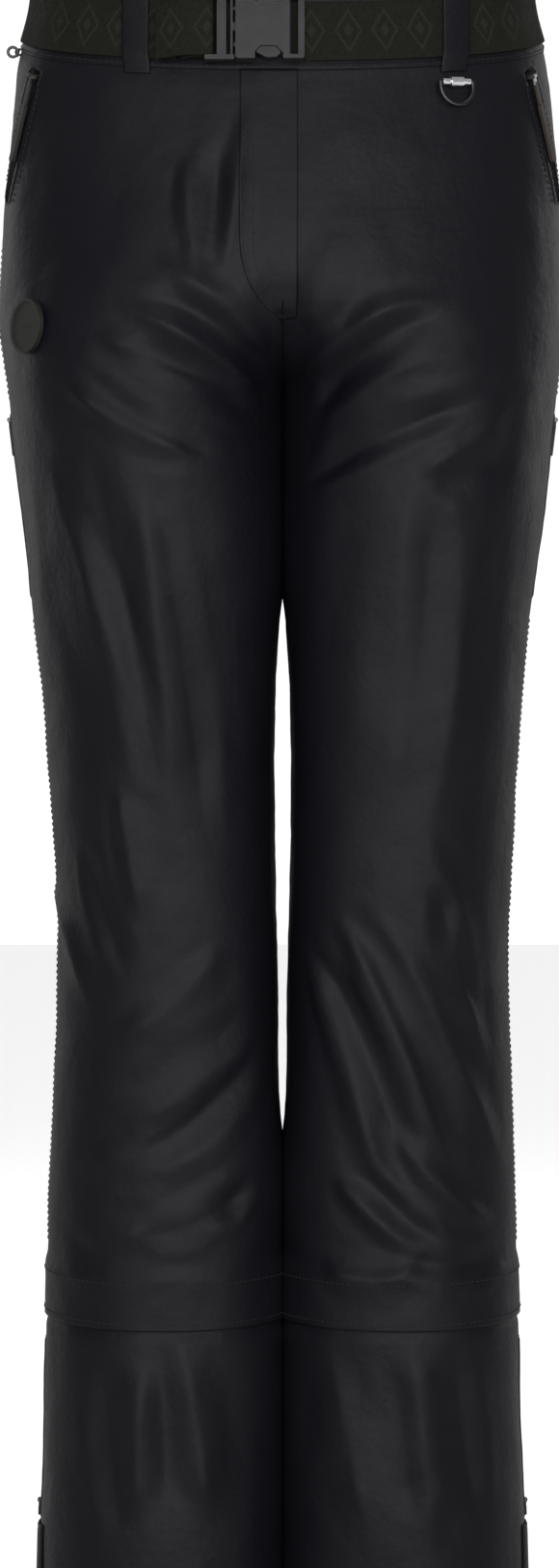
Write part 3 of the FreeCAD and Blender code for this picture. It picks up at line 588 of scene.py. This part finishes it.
# ---------------------------------------------------------------- meshes
def mesh_object(name, verts, faces, material, smooth_faces=True, uv=None, body="garment"):
    mesh = bpy.data.meshes.new(name)
    mesh.from_pydata((np.asarray(verts, float) * MM).tolist(), [], faces)
    mesh.polygons.foreach_set("use_smooth", [smooth_faces] * len(mesh.polygons))
    if uv is not None:
        layer = mesh.uv_layers.new(name="cloth")
        index = np.zeros(len(mesh.loops), int)
        mesh.loops.foreach_get("vertex_index", index)
        layer.data.foreach_set("uv", np.asarray(uv, float)[index].ravel())
    mesh.materials.append(material)
    obj = bpy.data.objects.new(name, mesh)
    bpy.context.scene.collection.objects.link(obj)
    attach(obj, body)
    return obj


def grid_faces(rows, cols, wrap=False, flip=False):
    faces = []
    for i in range(rows - 1):
        for j in range(cols if wrap else cols - 1):
            k = (j + 1) % cols
            quad = (i * cols + j, i * cols + k, (i + 1) * cols + k, (i + 1) * cols + j)
            faces.append(quad[::-1] if flip else quad)
    return faces


def weld(obj, distance=None):
    """Joins points closer than `distance` mm, if it's given, and turns every face outward."""
    bm = bmesh.new()
    bm.from_mesh(obj.data)
    if distance:
        bmesh.ops.remove_doubles(bm, verts=bm.verts, dist=distance * MM)
    bmesh.ops.recalc_face_normals(bm, faces=bm.faces)
    bm.to_mesh(obj.data)
    bm.free()


def thicken(obj, thickness, offset=-1.0):
    mod = obj.modifiers.new("thickness", "SOLIDIFY")
    mod.thickness, mod.offset = thickness * MM, offset
    mod.use_even_offset = False


def area_of(pts):
    """Area of a grid of points, in square metres."""
    a, b = pts[1:, 1:] - pts[:-1, :-1], pts[1:, :-1] - pts[:-1, 1:]
    return float(np.linalg.norm(np.cross(a, b), axis=2).sum()) / 2 * MM * MM


def cloth_piece(name, nodes, pts, facing, bare, mat, thickness, merge=None):
    """Cloth through a grid of points, with its front toward `facing`, in place of the CAD `nodes`.

    `bare` is the same cloth before its folds; the size of its flat cut is worked out from it but not used.
    """
    rows, cols = pts.shape[:2]
    u = np.pad(np.cumsum(np.linalg.norm(np.diff(pts, axis=1), axis=2), axis=1), ((0, 0), (1, 0)))
    v = np.pad(np.cumsum(np.linalg.norm(np.diff(pts, axis=0), axis=2), axis=0), ((1, 0), (0, 0)))
    uv = np.stack([u * MM, v * MM], axis=-1).reshape(-1, 2)
    i, j = rows // 2, cols // 4
    face_normal = np.cross(pts[i, j + 1] - pts[i, j], pts[i + 1, j] - pts[i, j])
    flip = bool(face_normal @ np.broadcast_to(facing, pts.shape)[i, j] < 0)
    piece = mesh_object(name, pts.reshape(-1, 3), grid_faces(rows, cols, flip=flip), mat, uv=uv)
    thicken(piece, thickness)
    if merge:
        weld(piece, merge)
    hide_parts(*nodes)
    wide = float(np.linalg.norm(np.diff(bare, axis=1), axis=2).sum(1).max()) * MM
    long = float(np.linalg.norm(np.diff(bare, axis=0), axis=2).sum(0).max()) * MM
    min(area_of(bare), wide * long)


# ---------------------------------------------------------------- shell
SIDE_KEEP = 30.0                # degrees beside the side seam where the columns stay at their own angle
HEM_FOLD = 8                    # rows of the hem that are turned up inside
MERGE = 0.02                    # mm, where a sheet's edges meet


def shell_grid(downs):
    """Down and angle of every point of one leg's shell, from the back seam round to the front seam.

    The columns are closest together by the zips, and end at the centre plane where the fork is.
    """
    degrees = spaced(180.0, (-180, -9, 2.0), (-9, -5.2, 1.0), (-5.2, 5.2, 0.4),
                     (5.2, 27, 0.6), (27, 180, 1.5))
    last = last_angle(downs)[:, None]
    beyond = np.maximum(np.abs(degrees) - SIDE_KEEP, 0.0) / (180.0 - SIDE_KEEP)
    angle = np.sign(degrees) * (np.minimum(np.abs(degrees), SIDE_KEEP) + beyond * (last - SIDE_KEEP))
    return np.broadcast_to(downs[:, None], angle.shape), angle


def make_shell(mats):
    for name, side in SIDES.items():
        down, angle = shell_grid(spaced(896.0, (54.5, 60, 2.0), (60, 170, 1.6), (170, 296, 3.0),
                                        (296, 430, 2.2), (430, 850, 3.0), (850, 896, 1.5)))
        out, bare = normal(side, down, angle), point(side, down, angle)
        flap = smooth((down - 854.0) / 10.0) * 1.5                  # the storm flap stands off the shin
        pts = own_side(side, cloth(side, down, angle) + out * flap[..., None])
        nodes = ["front_panel_" + name, "back_panel_" + name, "shin_flap_" + name]
        cloth_piece("shell_upper_" + name, nodes, pts, out, bare, mats["shell"], 1.1,
                    merge=MERGE)

        down, angle = shell_grid(spaced(1076.0, (872, 912, 2.5), (912, 1036, 2.2), (1036, 1076, 2.0)))
        out, bare = normal(side, down, angle), point(side, down, angle)
        under = -1.3 * (1 - smooth((down - FLAP_EDGE) / 8.0))       # the lower leg starts under the flap
        pts = own_side(side, cloth(side, down, angle) + out * under[..., None])
        turned = slice(None, -HEM_FOLD - 1, -1)
        depth = np.array([0.9] + [2.6] * (HEM_FOLD - 1))
        inner = own_side(side, pts[turned] - out[turned] * depth[:, None, None])
        pts, out = np.concatenate([pts, inner]), np.concatenate([out, out[turned]])
        bare = np.concatenate([bare, bare[turned]])
        nodes = ["lower_front_panel_" + name, "lower_back_panel_" + name]
        cloth_piece("shell_lower_" + name, nodes, pts, out, bare, mats["shell"], 0.8,
                    merge=MERGE)


# ---------------------------------------------------------------- waistband, belt and loops
BAND_HIGH, BAND_LONG = 0.0625, 0.84                     # metres, as one finished band
BELT_LOOPS = {"front_left": (111.0, True), "front_right": (-94.0, True), "back_left": (105.0, False),
              "back_right": (-105.0, False), "back_centre": (0.0, False)}


def around_waist(samples=240):
    """Sides and angles once round the waist, from the centre front over the wearer's left."""
    half = np.linspace(90, -90, samples // 2, endpoint=False)
    return np.concatenate([np.ones(len(half)), -np.ones(len(half))]), np.concatenate([half, -half])


def waist_points(down, off, sides, angles):
    return by_side(lambda side, _, d, a, o: point(side, d, a, o), sides, down, angles, off)


def make_waist(mats):
    sides, angles = around_waist()
    profile = [(59.0, 0.3), (57.0, 0.9), (55.5, 0.55)] + [(d, 0.6) for d in np.arange(52, 6, -4.0)]
    profile += [(4.5, 0.4), (3.2, 0.85), (1.5, 0.7), (0.2, 0.0), (-0.4, -1.6), (0.2, -3.4), (1.8, -4.3)]
    profile += [(d, -4.5) for d in np.arange(8, 58, 6.0)] + [(58.5, -4.3)]
    down, off = (np.array(c)[:, None] for c in zip(*profile))
    pts = waist_points(down, off, sides[None, :], angles[None, :])
    ripple = fuzz(pts, 26.0, 5) * 0.5 * smooth((off + 3) / 3)
    pts[..., :2] += (pts[..., :2] / np.linalg.norm(pts[..., :2], axis=-1, keepdims=True)) * ripple[..., None]
    loop = np.concatenate([pts, pts[:1]])
    rows, cols = loop.shape[:2]
    u = np.broadcast_to(np.linspace(0, BAND_LONG, cols), (rows, cols))
    v = np.broadcast_to(np.linspace(0, 2 * BAND_HIGH, rows)[:, None], (rows, cols))
    faces, uv = grid_faces(rows, cols, wrap=True), np.stack([u, v], -1).reshape(-1, 2)
    piece = mesh_object("waistband_band", loop.reshape(-1, 3), faces, mats["shell"], uv=uv)
    weld(piece, 0.005)
    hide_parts("waistband", "waistband_facing")
    # the band and its facing are sewn together along both edges
    make_belt(mats)
    for label, (x, front) in BELT_LOOPS.items():
        make_loop(mats, label, x, front)


BUCKLE_X, BUCKLE_DOWN = -18.0, 34.0


def buckle_axes():
    a = angle_at_x(BUCKLE_DOWN, BUCKLE_X)
    origin = point(-1, BUCKLE_DOWN, a)
    up = point(-1, BUCKLE_DOWN - 15, a) - point(-1, BUCKLE_DOWN + 15, a)
    up[0] = 0.0
    up /= np.linalg.norm(up)
    out = AHEAD - up * (AHEAD @ up)
    out /= np.linalg.norm(out)
    return origin, np.cross(up, out), out, up


def spline_through(pts, count):
    """Points evenly spaced along a smooth curve through `pts`."""
    pts = np.asarray(pts, float)
    t = np.linspace(0, len(pts) - 1, len(pts) * 12)
    i = np.clip(t.astype(int), 0, len(pts) - 2)
    f = (t - i)[:, None]
    p0, p1, p2, p3 = pts[np.maximum(i - 1, 0)], pts[i], pts[i + 1], pts[np.minimum(i + 2, len(pts) - 1)]
    square, cube = 2 * p0 - 5 * p1 + 4 * p2 - p3, 3 * p1 - p0 - 3 * p2 + p3
    curve = 0.5 * (2 * p1 + (p2 - p0) * f + square * f**2 + cube * f**3)
    run = run_along(curve)
    at = np.linspace(0, run[-1], count)
    return np.stack([np.interp(at, run, curve[:, k]) for k in range(curve.shape[1])], axis=-1)


# The webbing's end at the plug, from outside to inside: mm along the buckle from its middle, and mm outward.
FOLD_LINE = [(-64.0, -2.4), (-57.0, 1.9), (-50.2, 6.2), (-46.0, 7.9), (-42.7, 8.45), (-35.0, 8.45),
             (-29.5, 8.4), (-27.6, 7.4), (-27.2, 5.6), (-27.6, 3.8), (-29.5, 2.8), (-35.0, 2.75),
             (-40.3, 2.6), (-47.0, -2.3)]
BELT_TOP, BELT_HIGH, BELT_THICK, BELT_OFF = 15.4, 37.2, 1.8, 2.0
BELT_END_LEFT, BELT_END_RIGHT = 6.5, 66.0   # the ring stops behind the socket's bar, and under the fold


def webbing_piece(name, node, pts, mats, body):
    """Webbing through a grid of points, with rows across its width and columns along its length."""
    rows, cols = pts.shape[:2]
    run = run_along(pts[rows // 2])
    share = np.linspace(-0.5, 0.5, rows)
    uv = np.stack(np.broadcast_arrays(run[None, :] * MM, share[:, None]), -1).reshape(-1, 2)
    piece = mesh_object(name, pts.reshape(-1, 3), grid_faces(rows, cols), mats["webbing"], uv=uv, body=body)
    thicken(piece, BELT_THICK, 0.0)
    soften(piece, "edge", 0.35, 50)
    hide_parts(node)


def make_belt(mats):
    """Elastic webbing round the waist, and its end, which turns round the plug's bar and moves with it."""
    across = np.linspace(0, 1, 15)
    start, end = angle_at_x(BUCKLE_DOWN, BELT_END_LEFT), angle_at_x(BUCKLE_DOWN, BELT_END_RIGHT)
    left, right = np.linspace(start, -90, 130), np.linspace(-90, end, 124)[1:]
    sides = np.concatenate([np.ones(len(left)), -np.ones(len(right))])
    angles = np.concatenate([left, right])
    down = (BELT_TOP + BELT_HIGH * across)[:, None]
    ring = waist_points(down, BELT_OFF, sides[None, :], angles[None, :])
    webbing_piece("belt", "belt_webbing", ring, mats, "garment")
    origin, x, out, up = buckle_axes()
    fold = spline_through(FOLD_LINE, 60)
    folded = (origin + fold[None, :, 0:1] * x + fold[None, :, 1:2] * out
              + ((0.5 - across) * (BELT_HIGH - 0.4))[:, None, None] * up)
    webbing_piece("belt_fold_cloth", "belt_fold", folded, mats, "buckle_plug")


# A belt loop from its top down: mm down, and mm off the bare surface.
LOOP_PATH = [(3.6, 1.4), (6, 1.5), (9, 1.8), (11.5, 3.4), (14, 4.6), (20, 4.85), (34, 5.0), (48, 4.85),
             (53, 4.6), (55.5, 3.6), (58, 2.2), (60, 1.9), (63.0, 1.7)]
LOOP_HALF, LOOP_CROWN = 8.5, 0.35


def make_loop(mats, label, x, front):
    """A belt loop of folded shell cloth: sewn down at both ends and arched over the belt."""
    path, xs = spline_through(LOOP_PATH, 40), np.linspace(-LOOP_HALF, LOOP_HALF, 11)
    off = path[:, 1:2] + LOOP_CROWN * (1 - (xs / LOOP_HALF) ** 2)
    pts = by_side(lambda side, gx, d, o: raised(side, d, angle_at_x(d, gx, front), o),
                  x + xs, path[:, 0:1], off)
    node = "belt_loop_" + label
    cloth_piece(node + "_cloth", [node], pts, AHEAD if front else -AHEAD, pts, mats["shell"], 1.3)


# ---------------------------------------------------------------- fly, hem tabs and inner cloth
FLY_EDGE, FLY_WIDTH, FLY_BOTTOM, FLY_CURVE = 9.6, 37.0, 243.0, 60.0
LINING_OFF, QUILT_PITCH = -14.2, 62.0


def fly_left(down):
    """x of the placket's curved edge."""
    s = np.clip((down - (FLY_BOTTOM - FLY_CURVE)) / FLY_CURVE, 0.0, 1.0)
    return FLY_EDGE - 5.0 - (FLY_WIDTH - 5.0) * np.sqrt(1 - s * s)


def front_cloth(x, down, off):
    """Points of the draped cloth at x on the front, `off` mm above it."""
    def draped(side, gx, d, o):
        a = angle_at_x(d, np.maximum(np.abs(gx), 0.15))
        return raised(side, d, a, relief(side, d, a, False) + o)

    pts = by_side(draped, x, down, off)
    rows = len(pts) if pts.ndim == 3 else 0
    for row in range(rows):                             # over the centre seam the cloth is drawn straight
        inside = np.where(np.abs(x[row]) < 9)[0]
        if len(inside) > 1 and 0 < inside[0] and inside[-1] < x.shape[1] - 1:
            a, b = inside[0] - 1, inside[-1] + 1
            t = ((x[row, inside] - x[row, a]) / (x[row, b] - x[row, a]))[:, None]
            straight = pts[row, a] * (1 - t) + pts[row, b] * t
            pts[row, inside, 1] = np.minimum(pts[row, inside, 1], straight[:, 1])
    return pts


def make_fly(mats):
    down = np.linspace(58.0, FLY_BOTTOM - 0.5, 90)[:, None]
    share = np.linspace(0, 1, 34)[None, :]
    off = 1.2 + 0.4 * smooth((share - 0.9) / 0.1)
    pts = front_cloth(fly_left(down) * (1 - share) + FLY_EDGE * share, down, off)
    cloth_piece("fly_placket_cloth", ["fly_placket"], pts, AHEAD, pts, mats["shell"], 0.9)
    pts = by_side(lambda side, gx, d: point(side, d, angle_at_x(d, gx), -11.6),
                  np.linspace(-26, 26, 20), np.linspace(58.0, 214.0, 40)[:, None])
    cloth_piece("fly_shield_cloth", ["fly_shield"], pts, AHEAD, pts, mats["lining"], 0.9)


def grid_of(downs, angles):
    return np.meshgrid(np.linspace(*downs), np.linspace(*angles), indexing="ij")


def make_inner(mats):
    for name, side in SIDES.items():
        downs = spaced(888.0, (58, 290, 5.0), (290, 888, 7.0))
        angle = np.linspace(-1, 1, 121)[None, :] * last_angle(downs, -14.0)[:, None]
        down = np.broadcast_to(downs[:, None], angle.shape)
        base, out = point(side, down, angle, LINING_OFF), normal(side, down, angle)
        quilt = 1.1 * np.abs(np.sin(np.pi * down / QUILT_PITCH)) ** 0.5 - 0.6 + 0.5 * fuzz(base, 22.0, 9)
        pts = own_side(side, base + out * ((quilt - 0.8) * smooth((down - 58) / 10.0))[..., None], 0.6)
        cloth_piece("lining_cloth_" + name, ["lining_" + name], pts, out, base, mats["lining"], 0.7,
                    MERGE)

        down, angle = grid_of((905, 1040, 50), (-180, 180, 181))
        out = normal(side, down, angle)
        base = raised(side, down, angle, -9.6 - 14.0 * (down - 905.0) / 135.0)
        turn = np.radians(angle)
        gather = 0.9 * np.sin(turn * 34 + 2 * np.sin(turn * 5)) * smooth((down - 985) / 50)
        pts = base + out * (gather - 0.6 * np.exp(-(((down - 1028) / 2.0) ** 2)))[..., None]
        cloth_piece("snow_gaiter_cloth_" + name, ["snow_gaiter_" + name], pts, out, base, mats["lining"],
                    0.8, MERGE)

        down, angle = grid_of((68, 215, 50), (4, 52, 40))
        pts = point(side, down, angle, -11.8)
        cloth_piece("pocket_bag_cloth_" + name, ["pocket_bag_" + name], pts, normal(side, down, angle), pts,
                    mats["lining"], 0.7)

        down, angle = grid_of((1036, 1074.5, 24), (-16, 16, 40))
        rim = np.maximum(np.abs(angle) / 16, np.abs(down - 1055.25) / 19.25)
        pts = raised(side, down, angle, 2.6 - 0.7 * smooth((rim - 0.9) / 0.1)
                     - 0.35 * np.exp(-(((rim - 0.84) / 0.025) ** 2)))
        cloth_piece("hem_tab_cloth_" + name, ["hem_tab_" + name], pts, normal(side, down, angle), pts,
                    mats["tab"], 1.2)


# ---------------------------------------------------------------- stitches
THREAD_SIDES = 6


def add_part(verts, faces, part, shape):
    """Adds one part's points and faces to a mesh's lists."""
    faces += [tuple(len(verts) + v for v in face) for face in shape]
    verts += part


def stitches(name, line, ups, material, long=2.6, gap=1.5, radius=0.32):
    """Rows of thread along lines of points; `ups` are the outward directions there."""
    verts, faces = [], []
    turns = [math.tau * c / THREAD_SIDES for c in range(THREAD_SIDES)]
    caps = [tuple(range(THREAD_SIDES - 1, -1, -1)), tuple(range(3 * THREAD_SIDES, 4 * THREAD_SIDES))]
    shape = grid_faces(4, THREAD_SIDES, wrap=True) + caps
    for pts, normals in zip(line, ups):
        run = run_along(pts)
        for s in np.arange(1.0, run[-1] - long, long + gap):
            t = np.array([s, s + long * 0.25, s + long * 0.75, s + long])
            spot = np.stack([np.interp(t, run, pts[:, k]) for k in range(3)], -1)
            up = np.stack([np.interp(s, run, normals[:, k]) for k in range(3)])
            up /= np.linalg.norm(up)
            sideways = np.cross(spot[-1] - spot[0], up)
            sideways /= np.linalg.norm(sideways)
            lift = np.array([-0.05, 0.28, 0.28, -0.05])
            size = np.array([0.45, 1.0, 1.0, 0.45]) * radius
            part = [p + up * (h + r * math.sin(a)) + sideways * r * math.cos(a)
                    for p, h, r in zip(spot, lift, size) for a in turns]
            add_part(verts, faces, part, shape)
    weld(mesh_object(name, verts, faces, material), 0.0001)


def make_stitches(mats):
    for name, side in SIDES.items():
        lines, ups = [], []

        def row(down, angle, off):
            down, angle = np.broadcast_arrays(np.asarray(down, float), np.asarray(angle, float))
            lines.append(cloth(side, down, angle, off))
            ups.append(normal(side, down, angle))

        around = np.linspace(-176, 176, 300)
        row(866.0, around, 1.6)
        row(892.0, around, 1.6)
        row(1064.0, around, 0.1)
        for angle in (3.6, -3.6):
            row(np.linspace(190, 292, 60), angle, 0.1)
            row(np.linspace(436, 850, 160), angle, 0.1)
        item = ZIPS["pocket_zip_" + name]
        for across in (LIP + 1.4, -LIP - 1.4):
            t = np.linspace(1, item["long"] - 1, 40)[:, None]
            spot = item["top"] - item["up"] * t + item["x"] * across
            down = np.clip(-spot[:, 2] + 0.22 * spot[:, 1], 62, 170)
            for _ in range(8):
                angle = angle_at_x(down, spot[:, 0])
                down = down - (spot[:, 2] - point(side, down, angle)[:, 2])
            row(down, angle_at_x(down, spot[:, 0]), 0.2)
        stitches("stitching_" + name, lines, ups, mats["thread"])
    down = np.linspace(62, FLY_BOTTOM - 4, 120)
    fly = [front_cloth(fly_left(down) + inset, down, 1.35) for inset in (2.2, 8.4)]
    out = np.broadcast_to(AHEAD, fly[0].shape)
    stitches("fly_stitching", fly, [out, out], mats["thread"])
    sides, angles = around_waist(480)
    rows = [waist_points(d, o, sides, angles) for d, o in ((4.4, 0.55), (56.2, 0.95))]
    outward = [r * (1, 1, 0) / np.linalg.norm(r * (1, 1, 0), axis=1, keepdims=True) for r in rows]
    stitches("waistband_stitching", rows, outward, mats["thread"])


# ---------------------------------------------------------------- zips and hard parts
BOX = [(0, 1, 3, 2), (4, 6, 7, 5), (0, 4, 5, 1), (2, 3, 7, 6), (0, 2, 6, 4), (1, 5, 7, 3)]
TOOTH = [(0, 1, 2, 3), (7, 6, 5, 4), (0, 4, 5, 1), (1, 5, 6, 2), (2, 6, 7, 3), (3, 7, 4, 0)]
TOOTH_PITCH, TOOTH_HALF = 1.5, 0.45


def make_zip(name, item, mats):
    """Two tapes with interlocked teeth, drawn in the zip's own axes."""
    def at(px, pn, pz):
        return item["top"] + item["x"] * px + item["out"] * pn + item["up"] * pz

    depth, long = item["depth"], item["long"]
    verts, faces, marks = [], [], []
    for sign in (1, -1):
        ends = sorted((0.6 * sign, item["tape"] * sign))
        add_part(verts, faces, [at(px, pn, pz) for px in ends for pn in (depth - 0.8, depth - 0.1)
                                for pz in (-long, 0.0)], BOX)
        marks += [0] * len(BOX)
    for k in range(int((long - 4.0) / TOOTH_PITCH)):
        for sign in (1, -1):
            z = -2.0 - TOOTH_PITCH * (k + (0.5 if sign < 0 else 0.0)) - 0.5
            low, high = sorted((-0.5 * sign, 2.9 * sign))
            outline = [(low, -0.1), (high, -0.1), (high * 0.92, 1.3), (low * 0.92, 1.3)]
            add_part(verts, faces, [at(px, depth + pn, pz) for pz in (z - TOOTH_HALF, z + TOOTH_HALF)
                                    for px, pn in outline], TOOTH)
            marks += [1] * len(TOOTH)
    obj = mesh_object(name + "_chain", verts, faces, mats["tape"], smooth_faces=False)
    obj.data.materials.append(mats["teeth" if name.startswith("pocket") else "zip_metal"])
    obj.data.polygons.foreach_set("material_index", marks)
    weld(obj)
    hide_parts(name)


def soften(obj, name, width, angle):
    """Bevels the edges sharper than `angle` degrees, by `width` mm."""
    mod = obj.modifiers.new(name, "BEVEL")
    mod.width, mod.segments = width * MM, 2
    mod.limit_method, mod.angle_limit = "ANGLE", math.radians(angle)


def from_cad(node, material, bevel, body, slot, split=None):
    """A copy of a CAD node with softened edges, on its own body. `split` adds a material below a height."""
    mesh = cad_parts[node].data.copy()
    mesh.materials.clear()
    mesh.materials.append(material)
    obj = bpy.data.objects.new(node + "_finished", mesh)
    bpy.context.scene.collection.objects.link(obj)
    second, height = split or (None, None)
    if split:
        mesh.materials.append(second)
    bm = bmesh.new()
    bm.from_mesh(mesh)
    bmesh.ops.remove_doubles(bm, verts=bm.verts, dist=0.01 * MM)
    bmesh.ops.dissolve_limit(bm, angle_limit=math.radians(3), verts=bm.verts, edges=bm.edges)
    for face in bm.faces:
        face.smooth = True
        face.material_index = int(split is not None and face.calc_center_median().z < height)
    bm.to_mesh(mesh)
    bm.free()
    if bevel:
        soften(obj, "edges", bevel, 40)
    mod = obj.modifiers.new("smooth", "WEIGHTED_NORMAL")
    mod.keep_sharp = True
    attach(obj, body)
    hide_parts(node)


HARD_PARTS = (                  # node, look, bevel in mm, body, slot
    ("buckle_socket", "buckle", 0.5, "garment", "buckle"),
    ("buckle_plug", "buckle", 0.4, "buckle_plug", "buckle"),
    ("buckle_arm_upper", "buckle", 0.4, "buckle_arm_upper", "buckle"),
    ("buckle_arm_lower", "buckle", 0.4, "buckle_arm_lower", "buckle"),
    ("d_ring", "ring", 0.0, "ring", "ring_metal"),
    ("d_ring_sleeve", "bright", 0.2, "ring", "bright_metal"),
    ("d_ring_tab", "bright", 0.3, "garment", "bright_metal"),
    ("hip_badge", "badge", 0.4, "garment", "badge"),
    ("side_ring", "ring", 0.0, "garment", "ring_metal"),
    ("waist_snap", "ring", 0.2, "garment", "ring_metal"),
)
PULLS = {           # look, look of the grip, and how far below the pull's top the grip starts, metres
    "pocket_zip_left": ("pull_light", "grip_brown", 0.009),
    "pocket_zip_right": ("pull", "grip_dark", 0.021),
}


def make_hardware(mats):
    top, bottom = point(1, 64.0, 90.0), point(1, 190.0, 90.0)
    top[0] = bottom[0] = 0.0
    up = (top - bottom) / np.linalg.norm(top - bottom)
    out = AHEAD - up * (AHEAD @ up)
    out /= np.linalg.norm(out)
    fly = {"top": top, "x": np.cross(up, out), "out": out, "up": up, "depth": -6.8, "tape": 11.0,
           "long": float(np.linalg.norm(top - bottom))}
    zips = {**ZIPS, "fly_zip": fly}
    for name, item in zips.items():
        make_zip(name, item, mats)
    for name in zips:
        from_cad(name + "_slider", mats["zip_metal"], 0.25, name + "_slider", "zip_metal")
        look, grip, start = PULLS.get(name, ("pull", None, 0.0))
        split = (mats[grip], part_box(name + "_pull")[1][2] - start) if grip else None
        from_cad(name + "_pull", mats[look], 0.25, name + "_pull", "pull", split)
    for node, look, bevel, body, slot in HARD_PARTS:
        from_cad(node, mats[look], bevel, body, slot)


RING_WIRE = 2.0                             # thickness of the side ring's own wire, mm
CORD_RADIUS, CORD_REACH, CORD_TALL, CORD_TUCK = 0.7, 2.6, 1.9, 0.9


def make_ring_cord(mats):
    """A short loop of cord through the side ring, sewn into the side seam."""
    low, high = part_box("side_ring")
    middle, height = (low[1] + high[1]) / 2 / MM, (low[2] + high[2]) / 2 / MM
    centre = np.array([high[0] / MM + CORD_REACH - RING_WIRE - CORD_TUCK, middle, height])
    turns = np.linspace(0, math.tau, 28, endpoint=False)
    line = centre + np.stack([CORD_REACH * np.cos(turns), 0 * turns, CORD_TALL * np.sin(turns)], -1)
    outward = (line - centre) / np.linalg.norm(line - centre, axis=1, keepdims=True)
    rim = np.linspace(0, math.tau, 10, endpoint=False)[None, :, None]
    round_cord = np.cos(rim) * outward[:, None] + np.sin(rim) * np.array([0.0, 1.0, 0.0])
    verts = line[:, None] + CORD_RADIUS * round_cord
    around = grid_faces(len(turns) + 1, rim.size, wrap=True)
    faces = [tuple(v % (len(turns) * rim.size) for v in face) for face in around]
    cord = mesh_object("side_ring_loop", verts.reshape(-1, 3), faces, mats["grip_dark"])
    weld(cord, 0.001)


def make_materials():
    mats = {
        "shell": woven("shell", (0.0036, 0.0037, 0.0054), (0.0048, 0.0049, 0.0066), 0.42, 0.0007, 0.10),
        "tab": woven("hem_tab", (0.0035, 0.0035, 0.0042), (0.005, 0.005, 0.0056), 0.55, 0.0009, 0.12),
        "lining": woven("lining", (0.010, 0.010, 0.012), (0.015, 0.015, 0.017), 0.6, 0.0006, 0.2),
        "webbing": webbing_material(),
        "buckle": plastic("buckle", (0.0095, 0.0095, 0.0098), 0.4),
        "badge": plastic("badge", (0.0062, 0.0065, 0.0045), 0.55),
        "tape": plastic("zip_tape", (0.006, 0.0062, 0.0045), 0.75, 1500.0, 0.4),
        "zip_metal": metal("zip_metal", (0.07, 0.07, 0.065), 0.35),
        "pull": plastic("pull", (0.0075, 0.0078, 0.0048), 0.6),
        "pull_light": metal("pull_light", (0.42, 0.42, 0.40), 0.35),
        "teeth": metal("teeth", (0.6, 0.6, 0.58), 0.3),
        "grip_dark": plastic("grip_dark", (0.0055, 0.0056, 0.0042), 0.6),
        "grip_brown": plastic("grip_brown", (0.014, 0.0098, 0.0066), 0.6),
        "ring": metal("ring", (0.045, 0.045, 0.05), 0.32),
        "bright": metal("bright", (0.82, 0.82, 0.84), 0.22),
        "thread": plastic("thread", (0.0065, 0.0065, 0.0088), 0.55, 2500.0, 0.3),
    }
    return mats


def main():
    mats = make_materials()
    make_shell(mats)
    make_waist(mats)
    make_fly(mats)
    make_inner(mats)
    make_stitches(mats)
    make_hardware(mats)
    make_ring_cord(mats)
    make_stage()


main()
